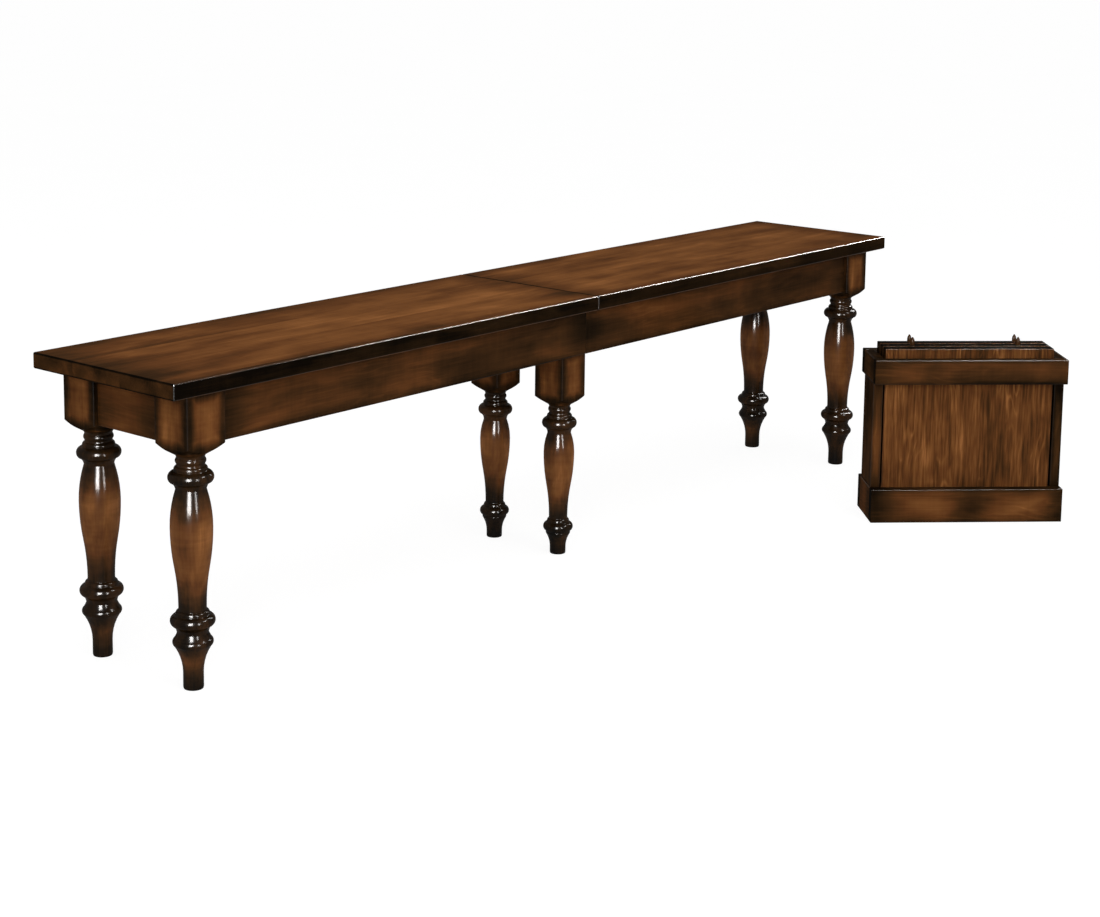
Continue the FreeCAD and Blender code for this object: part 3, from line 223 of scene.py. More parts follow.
class BenchStudio(bpy.types.PropertyGroup):
    camera_place: FloatVectorProperty(
        name="Camera Place", description="Where the camera stands",
        subtype="TRANSLATION", default=(-2.7364, -2.3334, 1.0985))
    camera_yaw: FloatProperty(
        name="Camera Yaw", description="Turn of the view from +Y towards +X",
        subtype="ANGLE", default=math.radians(50.120))
    camera_pitch: FloatProperty(
        name="Camera Pitch", description="How far the view points down",
        subtype="ANGLE", default=math.radians(8.812))
    camera_roll: FloatProperty(
        name="Camera Roll", description="Turn of the camera about its own view",
        subtype="ANGLE", default=math.radians(0.723))
    lens: FloatProperty(
        name="Lens", description="Focal length on a sensor 36 mm wide",
        subtype="DISTANCE_CAMERA", default=69.63)
    camera_shift: FloatProperty(
        name="Camera Shift", description="Vertical shift of the frame",
        default=-0.2)
    ambient: FloatProperty(
        name="Ambient", description="Light from all round on the object",
        default=0.45, min=0.0)
    soft_light: FloatProperty(
        name="Soft Light", description="Strength of the softboxes that light the object",
        default=1.0, min=0.0)
    polish_light: FloatProperty(
        name="Polish Light", description="Strength of the strips that only the polish shows",
        default=1.0, min=0.0)


@dataclass
class Surface:
    """A closed skin: its points and outward normals, its faces, and three values for the
    finish: where a point lies in the wood's grain, how far it is from the edges, and how much
    lighter or darker its patch is."""

    points: np.ndarray
    normals: np.ndarray
    quads: np.ndarray
    tris: np.ndarray
    grain: np.ndarray
    margin: np.ndarray
    tone: float | np.ndarray = 0.0

    def shaded(self, patches):
        """The same skin with its patches' tone: each patch adds its amount times exp(-d^2),
        where d is the distance from its middle in units of its reach."""
        for middle, reach, amount in patches:
            away = (self.points - np.array(middle)) / np.array(reach)
            self.tone = self.tone + amount * np.exp(-(away**2).sum(axis=1))
        return self

    def placed(self, matrix):
        """The same skin turned and moved by a rigid matrix."""
        turn = np.array(matrix.to_3x3())
        self.points = self.points @ turn.T + np.array(matrix.translation)
        self.normals = self.normals @ turn.T
        return self


def joined(skins):
    """Several skins, not yet shaded, as one, their points numbered on."""
    starts = np.cumsum([0] + [len(skin.points) for skin in skins[:-1]])
    return Surface(
        np.vstack([skin.points for skin in skins]),
        np.vstack([skin.normals for skin in skins]),
        np.vstack([skin.quads + start for skin, start in zip(skins, starts)]),
        np.vstack([skin.tris + start for skin, start in zip(skins, starts)]),
        np.vstack([skin.grain for skin in skins]),
        np.vstack([skin.margin for skin in skins]),
    )


def make_piece(name, skin, material, *nodes):
    """Puts a skin into a mesh in the place of CAD nodes, whose body and slot it takes."""
    mesh = bpy.data.meshes.new(name)
    mesh.from_pydata(skin.points.tolist(), [], skin.quads.tolist() + skin.tris.tolist())
    mesh.polygons.foreach_set("use_smooth", np.ones(len(mesh.polygons), bool))
    lengths = np.linalg.norm(skin.normals, axis=1, keepdims=True)
    mesh.normals_split_custom_set_from_vertices((skin.normals / lengths).tolist())
    for label, values in (("grain", skin.grain), ("margin", skin.margin)):
        attribute = mesh.attributes.new(label, "FLOAT_VECTOR", "POINT")
        attribute.data.foreach_set("vector", values.astype(np.float32).ravel())
    tone = np.zeros(len(skin.points), np.float32) + np.float32(skin.tone)
    mesh.attributes.new("tone", "FLOAT", "POINT").data.foreach_set("value", tone)
    mesh.materials.append(material)
    piece = bpy.data.objects.new(name, mesh)
    bpy.context.scene.collection.objects.link(piece)
    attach(piece, BODIES[nodes[0]])
    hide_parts(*nodes)
    return piece


def capped(points, normals, poles, grain_offset, margin):
    """A skin from a grid of rings listed downwards, each ring anticlockwise seen from above,
    closed at both ends by a pole. The grain runs along the axis."""
    rows, columns = points.shape[:2]
    index = np.arange(rows * columns).reshape(rows, columns)
    after = np.roll(index, -1, axis=1)
    quads = np.stack([index[:-1], index[1:], after[1:], after[:-1]], axis=-1).reshape(-1, 4)
    top, bottom = rows * columns, rows * columns + 1
    tris = np.vstack([
        np.stack([np.full(columns, top), index[0], after[0]], axis=-1),
        np.stack([np.full(columns, bottom), after[-1], index[-1]], axis=-1),
    ])
    every = np.vstack([points.reshape(-1, 3), poles])
    upright = np.array([[0.0, 0.0, 1.0], [0.0, 0.0, -1.0]])
    flat = np.zeros((2, 3))
    return Surface(
        every,
        np.vstack([normals.reshape(-1, 3), upright]),
        quads,
        tris,
        every[:, (2, 0, 1)] + grain_offset,
        np.vstack([margin.reshape(-1, 3), flat]),
    )


def arc(start, end, swell, trim, turn_step=math.radians(7), longest=0.012):
    """Points and outward normals from start to end on the arc whose middle stands out by
    swell, short of both ends by trim. With the half angle a = 2 atan(2 swell / chord) and the
    radius r = chord / (2 sin a), the point at t from -1 to 1 is the chord's middle
    + r sin(a t) along the chord + r (cos(a t) - cos a) outwards."""
    start, end = np.array(start), np.array(end)
    chord = np.linalg.norm(end - start)
    along = (end - start) / chord
    outward = np.array([-along[1], along[0]])
    half = 2 * math.atan(2 * swell / chord)
    length = chord if swell == 0 else chord * half / math.sin(half)
    count = max(math.ceil(2 * abs(half) / turn_step), math.ceil(length / longest), 1)
    t = np.linspace(-1 + 2 * trim / length, 1 - 2 * trim / length, count + 1)[:, None]
    if swell == 0:
        offsets = along * t * chord / 2
    else:
        radius = chord / (2 * math.sin(half))
        offsets = radius * (along * np.sin(half * t) + outward * (np.cos(half * t) - math.cos(half)))
    normals = along * np.sin(half * t) + outward * np.cos(half * t)
    return (start + end) / 2 + offsets, normals


def eased_corner(before, corner, after, normal_before, normal_after):
    """Three steps of the parabola from before to after whose tangents meet at the corner:
    (1 - t)^2 before + 2 t (1 - t) corner + t^2 after."""
    t = np.array([0.25, 0.5, 0.75]).reshape((3,) + (1,) * np.ndim(before))
    points = (1 - t) ** 2 * before + 2 * t * (1 - t) * corner + t**2 * after
    normals = (1 - t) * normal_before + t * normal_after
    return points, normals / np.linalg.norm(normals, axis=-1, keepdims=True)


def turned_profile(stations, trim):
    """The outline through the stations as points, normals and each point's distance along it
    to the nearest sharp corner."""
    arcs = [
        arc(start[:2], end[:2], end[2], trim)
        for start, end in zip(stations[:-1], stations[1:])
    ]
    points, normals = [arcs[0][0]], [arcs[0][1]]
    corners = [np.array(stations[0][:2])]
    for station, last, following in zip(stations[1:-1], arcs[:-1], arcs[1:]):
        place = np.array(station[:2])
        bend = eased_corner(last[0][-1], place, following[0][0], last[1][-1], following[1][0])
        points += [bend[0], following[0]]
        normals += [bend[1], following[1]]
        if last[1][-1] @ following[1][0] < math.cos(SHARP_TURN):
            corners.append(place)
    corners.append(np.array(stations[-1][:2]))
    points, normals = np.vstack(points), np.vstack(normals)
    way = np.concatenate([[0], np.cumsum(np.linalg.norm(np.diff(points, axis=0), axis=1))])
    nearest = [way[np.argmin(np.linalg.norm(points - corner, axis=1))] for corner in corners]
    distance = np.abs(way[:, None] - np.array(nearest)).min(axis=1)
    return points, normals, distance


def revolved(values, theta):
    """Radii and heights carried round the axis: (r cos theta, r sin theta, h)."""
    radii, heights = values[:, :1], values[:, 1:]
    return np.stack([radii * np.cos(theta), radii * np.sin(theta), heights + 0 * theta], axis=-1)


def upright_swell(rise, run):
    """How far an arc stands out from its chord where one end is upright: with the radius
    r = (rise^2 + run^2) / (2 rise) it is r - sqrt(r^2 - chord^2 / 4)."""
    chord_squared = rise**2 + run**2
    radius = chord_squared / (2 * rise)
    return radius - math.sqrt(radius**2 - chord_squared / 4)


def leg_stations(kind, block_bottom):
    """A leg's outline from under the block's shoulder down to the foot and in to the axis."""
    stations = [(radius, block_bottom - drop, swell) for drop, radius, swell in kind.upper]
    neck_radius, neck_height = stations[-1][:2]
    belly_height = block_bottom - kind.belly_drop
    rise, run = kind.belly_radius - neck_radius, neck_height - belly_height
    stations.append((kind.belly_radius, belly_height, upright_swell(rise, run)))
    fall = (kind.belly_radius - kind.waist_radius) / 2
    reach = (belly_height - kind.waist_height) / 2
    bend = upright_swell(fall, reach)
    stations.append((kind.waist_radius + fall, kind.waist_height + reach, bend))
    stations.append((kind.waist_radius, kind.waist_height, -bend))
    swells = [swell for height, radius, swell in kind.lower[1:]] + [0]
    for (height, radius, own), swell in reversed(list(zip(kind.lower, swells))):
        stations.append((radius, height, swell))
    stations.append((kind.foot_radius, 0.0, kind.lower[0][2]))
    stations.append((kind.foot_radius / 4, 0.0, 0))
    return stations


def leg_skin(kind, centre, top, half_block, shape, grain_offset):
    """A leg as rings about its axis. The block's rings are the rounded square
    |x|^p + |y|^p = half^p, cut below by the shoulder's cone; the rest is the outline turned
    about the axis. Each column meets the cone at its own height, so the shoulder stays crisp."""
    block_bottom = top - kind.block_height
    stations = leg_stations(kind, block_bottom)
    recess = shape.block_ease * (math.sqrt(2) - 1)
    power = math.log(2) / -math.log(1 - recess / (half_block * math.sqrt(2)))
    step = np.linspace(-1, 1, shape.columns_per_face + 1)[:-1]
    within = np.radians(45) * np.sin(np.radians(90) * step)
    theta = np.concatenate([within + np.radians(90) * face for face in range(4)])
    across = np.tile(np.abs(np.sin(within)), 4)
    cosine, sine = np.cos(theta), np.sin(theta)
    reach = half_block / (np.abs(cosine) ** power + np.abs(sine) ** power) ** (1 / power)

    def ring(radius, height):
        return np.stack([radius * cosine, radius * sine, height + 0 * theta], axis=-1)

    face_normal = np.stack([
        np.sign(cosine) * np.abs(cosine) ** (power - 1),
        np.sign(sine) * np.abs(sine) ** (power - 1),
        0 * theta,
    ], axis=-1)
    face_normal /= np.linalg.norm(face_normal, axis=1, keepdims=True)
    up = ring(0, 1.0)
    blank = half_block * math.sqrt(2) + shape.blank_allowance
    shoulder_radius, shoulder_height = stations[0][:2]
    slope = (block_bottom - shoulder_height) / (blank - shoulder_radius)
    meeting = block_bottom - slope * (blank - reach)
    cone_normal = np.stack([slope * cosine, slope * sine, -1 + 0 * theta], axis=-1)
    cone_normal /= np.linalg.norm(cone_normal, axis=1, keepdims=True)

    trim = shape.turning_ease
    side_top = ring(reach, top - trim)
    side_end = ring(reach, meeting + trim)
    cone_top = ring(reach - trim, meeting - slope * trim)
    cone_end = ring(shoulder_radius + trim, shoulder_height + slope * trim)
    outline, outline_normals, outline_margin = turned_profile(stations, trim)

    def between(first, last, count):
        share = np.linspace(0, 1, count)[:, None, None]
        return first + share * (last - first)

    turned_points, turned_normals = revolved(outline, theta), revolved(outline_normals, theta)
    face_rows, cone_rows = 14, 6
    crown = [
        (ring(reach - trim, top)[None], up[None]),
        eased_corner(ring(reach - trim, top), ring(reach, top), side_top, up, face_normal),
        (between(side_top, side_end, face_rows),
         np.broadcast_to(face_normal, (face_rows, *up.shape))),
        eased_corner(side_end, ring(reach, meeting), cone_top, face_normal, cone_normal),
        (between(cone_top, cone_end, cone_rows),
         np.broadcast_to(cone_normal, (cone_rows, *up.shape))),
        eased_corner(cone_end, ring(shoulder_radius, shoulder_height), turned_points[0],
                     cone_normal, turned_normals[0]),
    ]
    points = np.concatenate([part[0] for part in crown] + [turned_points])
    normals = np.concatenate([part[1] for part in crown] + [turned_normals])
    crown_rows = len(points) - len(turned_points)

    margin = np.zeros(points.shape)
    height = points[:crown_rows, :, 2]
    radius = np.hypot(points[:crown_rows, :, 0], points[:crown_rows, :, 1])
    to_shoulder = np.abs(height - meeting)
    # Towards its top, where the block meets the seat, this darkening is partly glaze at the joint and
    # partly painted shade under the seat
    margin[:crown_rows, :, 0] = BLOCK_MARGIN * np.minimum(to_shoulder, np.abs(top - height))
    margin[:crown_rows, :, 1] = np.clip(half_block - radius * across, 0, None)
    margin[crown_rows:, :, 0] = outline_margin[:, None]
    margin[crown_rows:, :, 1] = TURNED_MARGIN
    poles = np.array([[0.0, 0.0, top], [0.0, 0.0, 0.0]])
    skin = capped(points, normals, poles, grain_offset, margin)
    return skin.placed(Matrix.Translation((centre[0], centre[1], 0.0)))


def eased_lines(low, high, ease, spacing, wanted):
    """Where the grid lines across one axis of a block lie: at low + ease - ease tan(turn) for
    turns of 45, 30, 15 and 0 degrees of each eased edge, about spacing apart between, with one
    in the middle, and five over each wanted stretch."""
    steep = ease * np.tan(np.radians((45.0, 30.0, 15.0, 0.0)))
    half = max(1, math.ceil((high - low - 2 * ease) / spacing / 2))
    inside = np.linspace(low + ease, high - ease, 2 * half + 1)[1:-1]
    for centre, reach in wanted:
        inside = inside[np.abs(inside - centre) > reach]
        inside = np.append(inside, centre + reach * np.linspace(-1, 1, 5))
    lines = np.concatenate([low + ease - steep, inside, high - ease + steep])
    return np.unique(np.round(lines, 7))


@dataclass
class Bore:
    """A round hole into one face of a block: the axis it runs along, the face's side, the
    hole's centre, radius and depth."""

    axis: int
    side: int
    centre: tuple
    radius: float
    depth: float

    def plane(self):
        return (self.axis + 1) % 3, (self.axis + 2) % 3

    def reach(self):
        return 1.5 * self.radius


def block_skin(low, high, ease, spacing, axes, grain_offset, bores=()):
    """A block with rounded edges. Its lattice points lie on the sharp block; each moves to the
    nearest point of the block shrunk by ease, plus ease along the way to it, which is also the
    normal there. axes names the block's axes along, across and through the grain."""
    low, high = np.array(low), np.array(high)
    wanted = [[], [], []]
    for bore in bores:
        for axis in bore.plane():
            wanted[axis].append((bore.centre[axis], bore.reach()))
    lines = [eased_lines(low[k], high[k], ease, spacing, wanted[k]) for k in range(3)]
    counts = [len(line) for line in lines]
    lattice = np.stack(np.meshgrid(*lines, indexing="ij"), axis=-1)
    place = np.stack(np.meshgrid(*[np.arange(count) for count in counts], indexing="ij"), axis=-1)
    outside = ((place == 0) | (place == np.array(counts) - 1)).any(axis=-1)
    number = np.full(counts, -1)
    number[outside] = np.arange(outside.sum())
    sharp = lattice[outside]

    quads = []
    for axis in range(3):
        for side in (0, -1):
            face = np.take(number, side, axis=axis)
            corners = [face[:-1, :-1], face[1:, :-1], face[1:, 1:], face[:-1, 1:]]
            if (axis == 1) == (side == -1):
                corners.reverse()
            quads.append(np.stack(corners, axis=-1).reshape(-1, 4))
    quads = np.vstack(quads)

    core = np.clip(sharp, low + ease, high - ease)
    normals = sharp - core
    normals /= np.linalg.norm(normals, axis=1, keepdims=True)
    points = core + ease * normals
    tris = np.zeros((0, 3), int)
    for bore in bores:
        points, normals, quads, tris = bored(bore, points, normals, quads, tris, low, high)
    margin = np.minimum(points - low, high - points)
    grain = points - (low + high) / 2
    order = list(axes)
    return Surface(points, normals, quads, tris, grain[:, order] + grain_offset, margin[:, order])


def bored(bore, points, normals, quads, tris, low, high):
    """Opens a hole: the quads round its centre make way for a ring out to the square they
    leave, a wall and a floor. The rim and the foot of the wall are chamfered a little."""
    first, second = bore.plane()
    face = (high if bore.side > 0 else low)[bore.axis]
    away = points - np.array(bore.centre)
    square = np.maximum(np.abs(away[:, first]), np.abs(away[:, second]))
    tiny = 1e-6
    on_face = np.abs(points[:, bore.axis] - face) < tiny
    covered = on_face & (square < bore.reach() + tiny)
    quads = quads[~covered[quads].all(axis=1)]
    rim = np.flatnonzero(on_face & (np.abs(square - bore.reach()) < tiny))
    angle = np.arctan2(away[rim, second], away[rim, first])
    rim = rim[np.argsort(angle * bore.side)]
    angle = np.arctan2(away[rim, second], away[rim, first])

    outward = np.zeros(3)
    outward[bore.axis] = bore.side
    spoke = np.zeros((len(rim), 3))
    spoke[:, first] = np.cos(angle)
    spoke[:, second] = np.sin(angle)
    middle = np.array(bore.centre, float)
    middle[bore.axis] = face
    chamfer = 0.1 * bore.radius
    rings = (
        (bore.radius + chamfer, 0, outward + 0 * spoke),
        (bore.radius, chamfer, -spoke),
        (bore.radius, bore.depth - chamfer, -spoke),
        (bore.radius - chamfer, bore.depth, outward + 0 * spoke),
    )
    inner = rim
    for radius, depth, ring_normals in rings:
        ring = len(points) + np.arange(len(rim))
        points = np.vstack([points, middle + radius * spoke - depth * outward])
        normals = np.vstack([normals, ring_normals])
        sides = np.stack([inner, np.roll(inner, -1), np.roll(ring, -1), ring], axis=-1)
        quads = np.vstack([quads, sides])
        inner = ring
    centre = np.full(len(rim), len(points))
    points = np.vstack([points, middle - bore.depth * outward])
    normals = np.vstack([normals, outward])
    tris = np.vstack([tris, np.stack([inner, np.roll(inner, -1), centre], axis=-1)])
    return points, normals, quads, tris


def pin_skin(base, direction, length, shape, grain_offset):
    """A round pin with a pointed nose, turned from the outline: a flat end, a straight shank
    and an arc that runs from the shank to a small blunt tip."""
    radius, nose = shape.pin_radius, shape.pin_nose
    tip = 0.12 * radius
    stations = [
        (tip / 2, length, 0),
        (tip, length, 0),
        (radius, length - nose, upright_swell(radius - tip, nose)),
        (radius, 0.0, 0),
        (tip, 0.0, 0),
    ]
    outline, outline_normals, distance = turned_profile(stations, shape.turning_ease / 3)
    columns = 24
    theta = np.linspace(0, 2 * math.pi, columns, endpoint=False)
    points = revolved(outline, theta)
    margin = np.zeros(points.shape)
    margin[:, :, :2] = distance[:, None, None]
    poles = np.array([[0.0, 0.0, length], [0.0, 0.0, 0.0]])
    skin = capped(points, revolved(outline_normals, theta), poles, grain_offset, margin)
    turn = Vector((0, 0, 1)).rotation_difference(Vector(direction)).to_matrix().to_4x4()
    return skin.placed(Matrix.Translation(base) @ turn)


@dataclass
class Wood:
    """How one kind of piece takes the stain. Levels run from 0, black glaze, to 1, amber. The
    scales are in waves per metre along, across and through the grain."""

    level: float
    streaks: float = 0.30
    streak_scale: tuple = (2.4, 30.0, 30.0)
    blotches: float = 0.34
    blotch_scale: tuple = (7.0, 17.0, 17.0)
    fibres: float = 0.10
    fibre_scale: tuple = (9.0, 420.0, 420.0)
    lines: float = 0.12
    line_count: float = 90.0
    line_drift: float = 16.0
    curl: float = 0.04
    strips: float = 0.0
    strip_width: float = 0.1
    glaze: float = 0.3
    glaze_width: tuple = (0.03, 0.012, 1.0)
    long_edge: float = 0.0
    end_edge: float = 0.0
    end_line: float = 0.0
    coat: float = 0.02
    turned_coat: float = 0.0
    long_arris_coat: float = 0.12
    end_arris_coat: float = 0.0
    corner_coat: float = 0.0


# Waves per metre of the figure that all the woods share: the curl across the grain, the drift
# of the thin lines, and the stretches in which those lines show
CURL_SCALE = (150, 14, 14)
DRIFT_SCALE = (3.0, 11, 11)
SHOWING_SCALE = (8, 30, 30)
# Where the first strip of a glued board starts, in strip widths, and how far apart the strips'
# figures are drawn
STRIP_START = 0.638
STRIP_STEP = 3.71
# How far from a board's faces an edge face begins, and how far from an arris its polish fades
EDGE_FACE = (0.0004, 0.0022)
EDGE_DEPTH = 0.003
END_LINE = (0.0008, 0.0035)
ARRIS = (0.0006, 0.0022)
COAT_ROUGHNESS = 0.16

WOODS = {
    "seat_wood": Wood(level=0.665, streaks=0.28, streak_scale=(1.8, 22.0, 22.0),
                      lines=0.05, line_count=60.0, strips=0.06, strip_width=0.104, glaze=0.18,
                      glaze_width=(0.09, 0.035, 1.0), long_edge=0.38, end_edge=0.04,
                      end_line=0.40, coat=0.01, long_arris_coat=0.35, corner_coat=0.5),
    "apron_wood": Wood(level=0.455, streaks=0.28, blotches=0.42, lines=0.06, glaze=0.18,
                       glaze_width=(0.07, 0.012, 1.0)),
    "leg_wood": Wood(level=0.69, streaks=0.22, blotches=0.46, blotch_scale=(15.0, 32.0, 32.0),
                     lines=0.04, curl=0.10, glaze=0.50, glaze_width=(0.065, 0.022, 1.0),
                     turned_coat=0.09, long_arris_coat=0.16),
    "box_wood": Wood(level=0.47, streaks=0.26, blotches=0.40, blotch_scale=(9.0, 20.0, 20.0),
                     lines=0.10, glaze=0.20, glaze_width=(0.05, 0.008, 1.0), long_edge=0.04,
                     end_edge=0.20, coat=0.01, long_arris_coat=0.14),
    "leaf_wood": Wood(level=0.63, streaks=0.16, streak_scale=(3.0, 70.0, 70.0), blotches=0.30,
                      blotch_scale=(13.0, 26.0, 26.0), lines=0.28, line_count=105.0,
                      line_drift=22.0, fibres=0.55, fibre_scale=(13.0, 210.0, 210.0), curl=0,
                      strips=0.08, strip_width=0.143, glaze=0.10,
                      glaze_width=(0.006, 0.006, 1.0), long_edge=0.42, end_edge=0.52,
                      coat=0.01, end_arris_coat=0.08),
    "pin_wood": Wood(level=0.40, streaks=0.20, blotches=0.20, lines=0, curl=0, glaze=0.10,
                     glaze_width=(0.003, 0.003, 1.0), coat=0.04),
}

# Lighter and darker patches of stain: the middle of each, its reach along each axis, and the
# amount at its middle. On the box and the leaves they are in the box's own directions.
PATCHES = {
    "left_top": (
        ((-0.92, 0.12, 0.46), (0.30, 0.24, WIDE), -0.11),
        ((-0.40, 0.14, 0.46), (0.30, 0.06, WIDE), -0.09),
        ((-0.22, -0.02, 0.46), (0.36, 0.16, WIDE), 0.08),
    ),
    "right_top": (((0.35, 0.0, 0.46), (0.42, 0.30, WIDE), 0.08),),
    "left_leg_back": (((-0.92, 0.14, 0.40), (WIDE, WIDE, 0.05), 0.06),),
    "centre_leg_front": (((0.0, -0.07, 0.40), (WIDE, WIDE, 0.05), 0.12),),
    "left_apron_front": (
        ((-0.46, -0.15, 0.37), (0.10, WIDE, 0.03), 0.06),
        ((-0.25, -0.15, 0.39), (0.22, WIDE, WIDE), -0.06),
        ((-0.03, -0.15, 0.40), (0.12, WIDE, WIDE), -0.06),
    ),
    "left_apron_end": (((-0.9, 0.0, 0.39), (WIDE, 0.07, WIDE), 0.21),),
    "box_rim_front": (
        ((0.06, 0.0, 0.270), (0.05, WIDE, 0.016), 0.04),
        ((0.20, 0.0, 0.262), (0.09, WIDE, 0.022), -0.24),
        ((0.26, 0.0, 0.300), (0.08, WIDE, 0.012), 0.10),
        ((0.33, 0.0, 0.288), (0.05, WIDE, 0.012), 0.05),
        ((0.32, 0.0, 0.257), (0.07, WIDE, 0.010), -0.20),
    ),
    "box_base_front": (
        ((0.0, 0.0, 0.03), (0.05, WIDE, WIDE), -0.12),
        ((0.105, 0.0, 0.034), (0.042, WIDE, 0.022), 0.22),
        ((0.185, 0.0, 0.034), (0.030, WIDE, WIDE), -0.14),
        ((0.285, 0.0, 0.034), (0.065, WIDE, 0.019), 0.28),
    ),
    "box_base_left": (((0.0, 0.07, 0.03), (WIDE, 0.08, WIDE), 0.16),),
    "box_side_left": (
        ((0.0, 0.0, 0.15), (WIDE, 0.03, 0.03), 0.14),
        ((0.0, 0.09, 0.15), (WIDE, 0.08, WIDE), 0.08),
    ),
    "box_side_right": (((0.4, 0.0, 0.15), (WIDE, 0.03, WIDE), -0.14),),
    "front_leaf": (
        ((0.11, 0.0, 0.19), (0.07, WIDE, 0.12), 0.06),
        ((0.225, 0.0, 0.13), (0.028, WIDE, 0.10), -0.11),
        ((0.075, 0.0, 0.075), (0.030, WIDE, 0.025), -0.12),
        ((0.112, 0.0, 0.070), (0.013, WIDE, 0.009), 0.20),
    ),
}


class Recipe:
    """The nodes of a material or of the world. A value that isn't a socket is set on the input
    itself."""

    def __init__(self, owner):
        owner.use_nodes = True
        self.owner = owner
        self.tree = owner.node_tree
        self.tree.nodes.clear()

    def feed(self, socket, value):
        if isinstance(value, bpy.types.NodeSocket):
            self.tree.links.new(value, socket)
        else:
            socket.default_value = value

    def add(self, kind, inputs=None, **settings):
        node = self.tree.nodes.new(f"ShaderNode{kind}")
        for setting, value in settings.items():
            setattr(node, setting, value)
        for name, value in (inputs or {}).items():
            self.feed(node.inputs[name], value)
        return node

    def calc(self, operation, *values):
        node = self.add("Math", operation=operation)
        for socket, value in zip(node.inputs, values):
            self.feed(socket, value)
        return node.outputs[0]

    def scaled(self, vector, factors):
        node = self.add("VectorMath", {0: vector, 1: factors}, operation="MULTIPLY")
        return node.outputs[0]

    def noise(self, vector, factors, layer=0.0, detail=3.0, roughness=0.5, distortion=0.0):
        """Noise from about -0.5 to 0.5 on the vector times the factors."""
        node = self.add("TexNoise", {
            "Vector": self.scaled(vector, factors), "W": layer, "Scale": 1.0, "Detail": detail,
            "Roughness": roughness, "Distortion": distortion,
        }, noise_dimensions="4D")
        return self.calc("SUBTRACT", node.outputs[0], 0.5)

    def smooth(self, value, start, end):
        """0 below start, 1 above end, and a smooth step between."""
        node = self.add("MapRange", {"Value": value, "From Min": start, "From Max": end},
                        interpolation_type="SMOOTHSTEP")
        return node.outputs[0]

    def fading(self, value, start, end):
        """1 below start, 0 above end, and a smooth step between."""
        return self.calc("SUBTRACT", 1.0, self.smooth(value, start, end))

    def mixture(self, base, shares):
        """The base value plus each value times its share, leaving out shares of 0."""
        for value, share in shares:
            if share:
                base = self.calc("MULTIPLY_ADD", value, share, base)
        return base

    def stops(self, value, colours):
        """A colour ramp through evenly spaced colours."""
        node = self.add("ValToRGB", {0: value})
        elements = node.color_ramp.elements
        while len(elements) < len(colours):
            elements.new(0.5)
        for index, (element, colour) in enumerate(zip(elements, colours)):
            element.position = index / (len(colours) - 1)
            element.color = (*colour, 1.0)
        return node.outputs[0]

    def bump(self, height, strength, distance):
        node = self.add("Bump", {"Height": height, "Strength": strength, "Distance": distance})
        return node.outputs[0]

    def finish(self, **inputs):
        names = {name.replace("_", " "): value for name, value in inputs.items()}
        shader = self.add("BsdfPrincipled", names)
        self.add("OutputMaterial", {"Surface": shader.outputs[0]})
        return self.owner


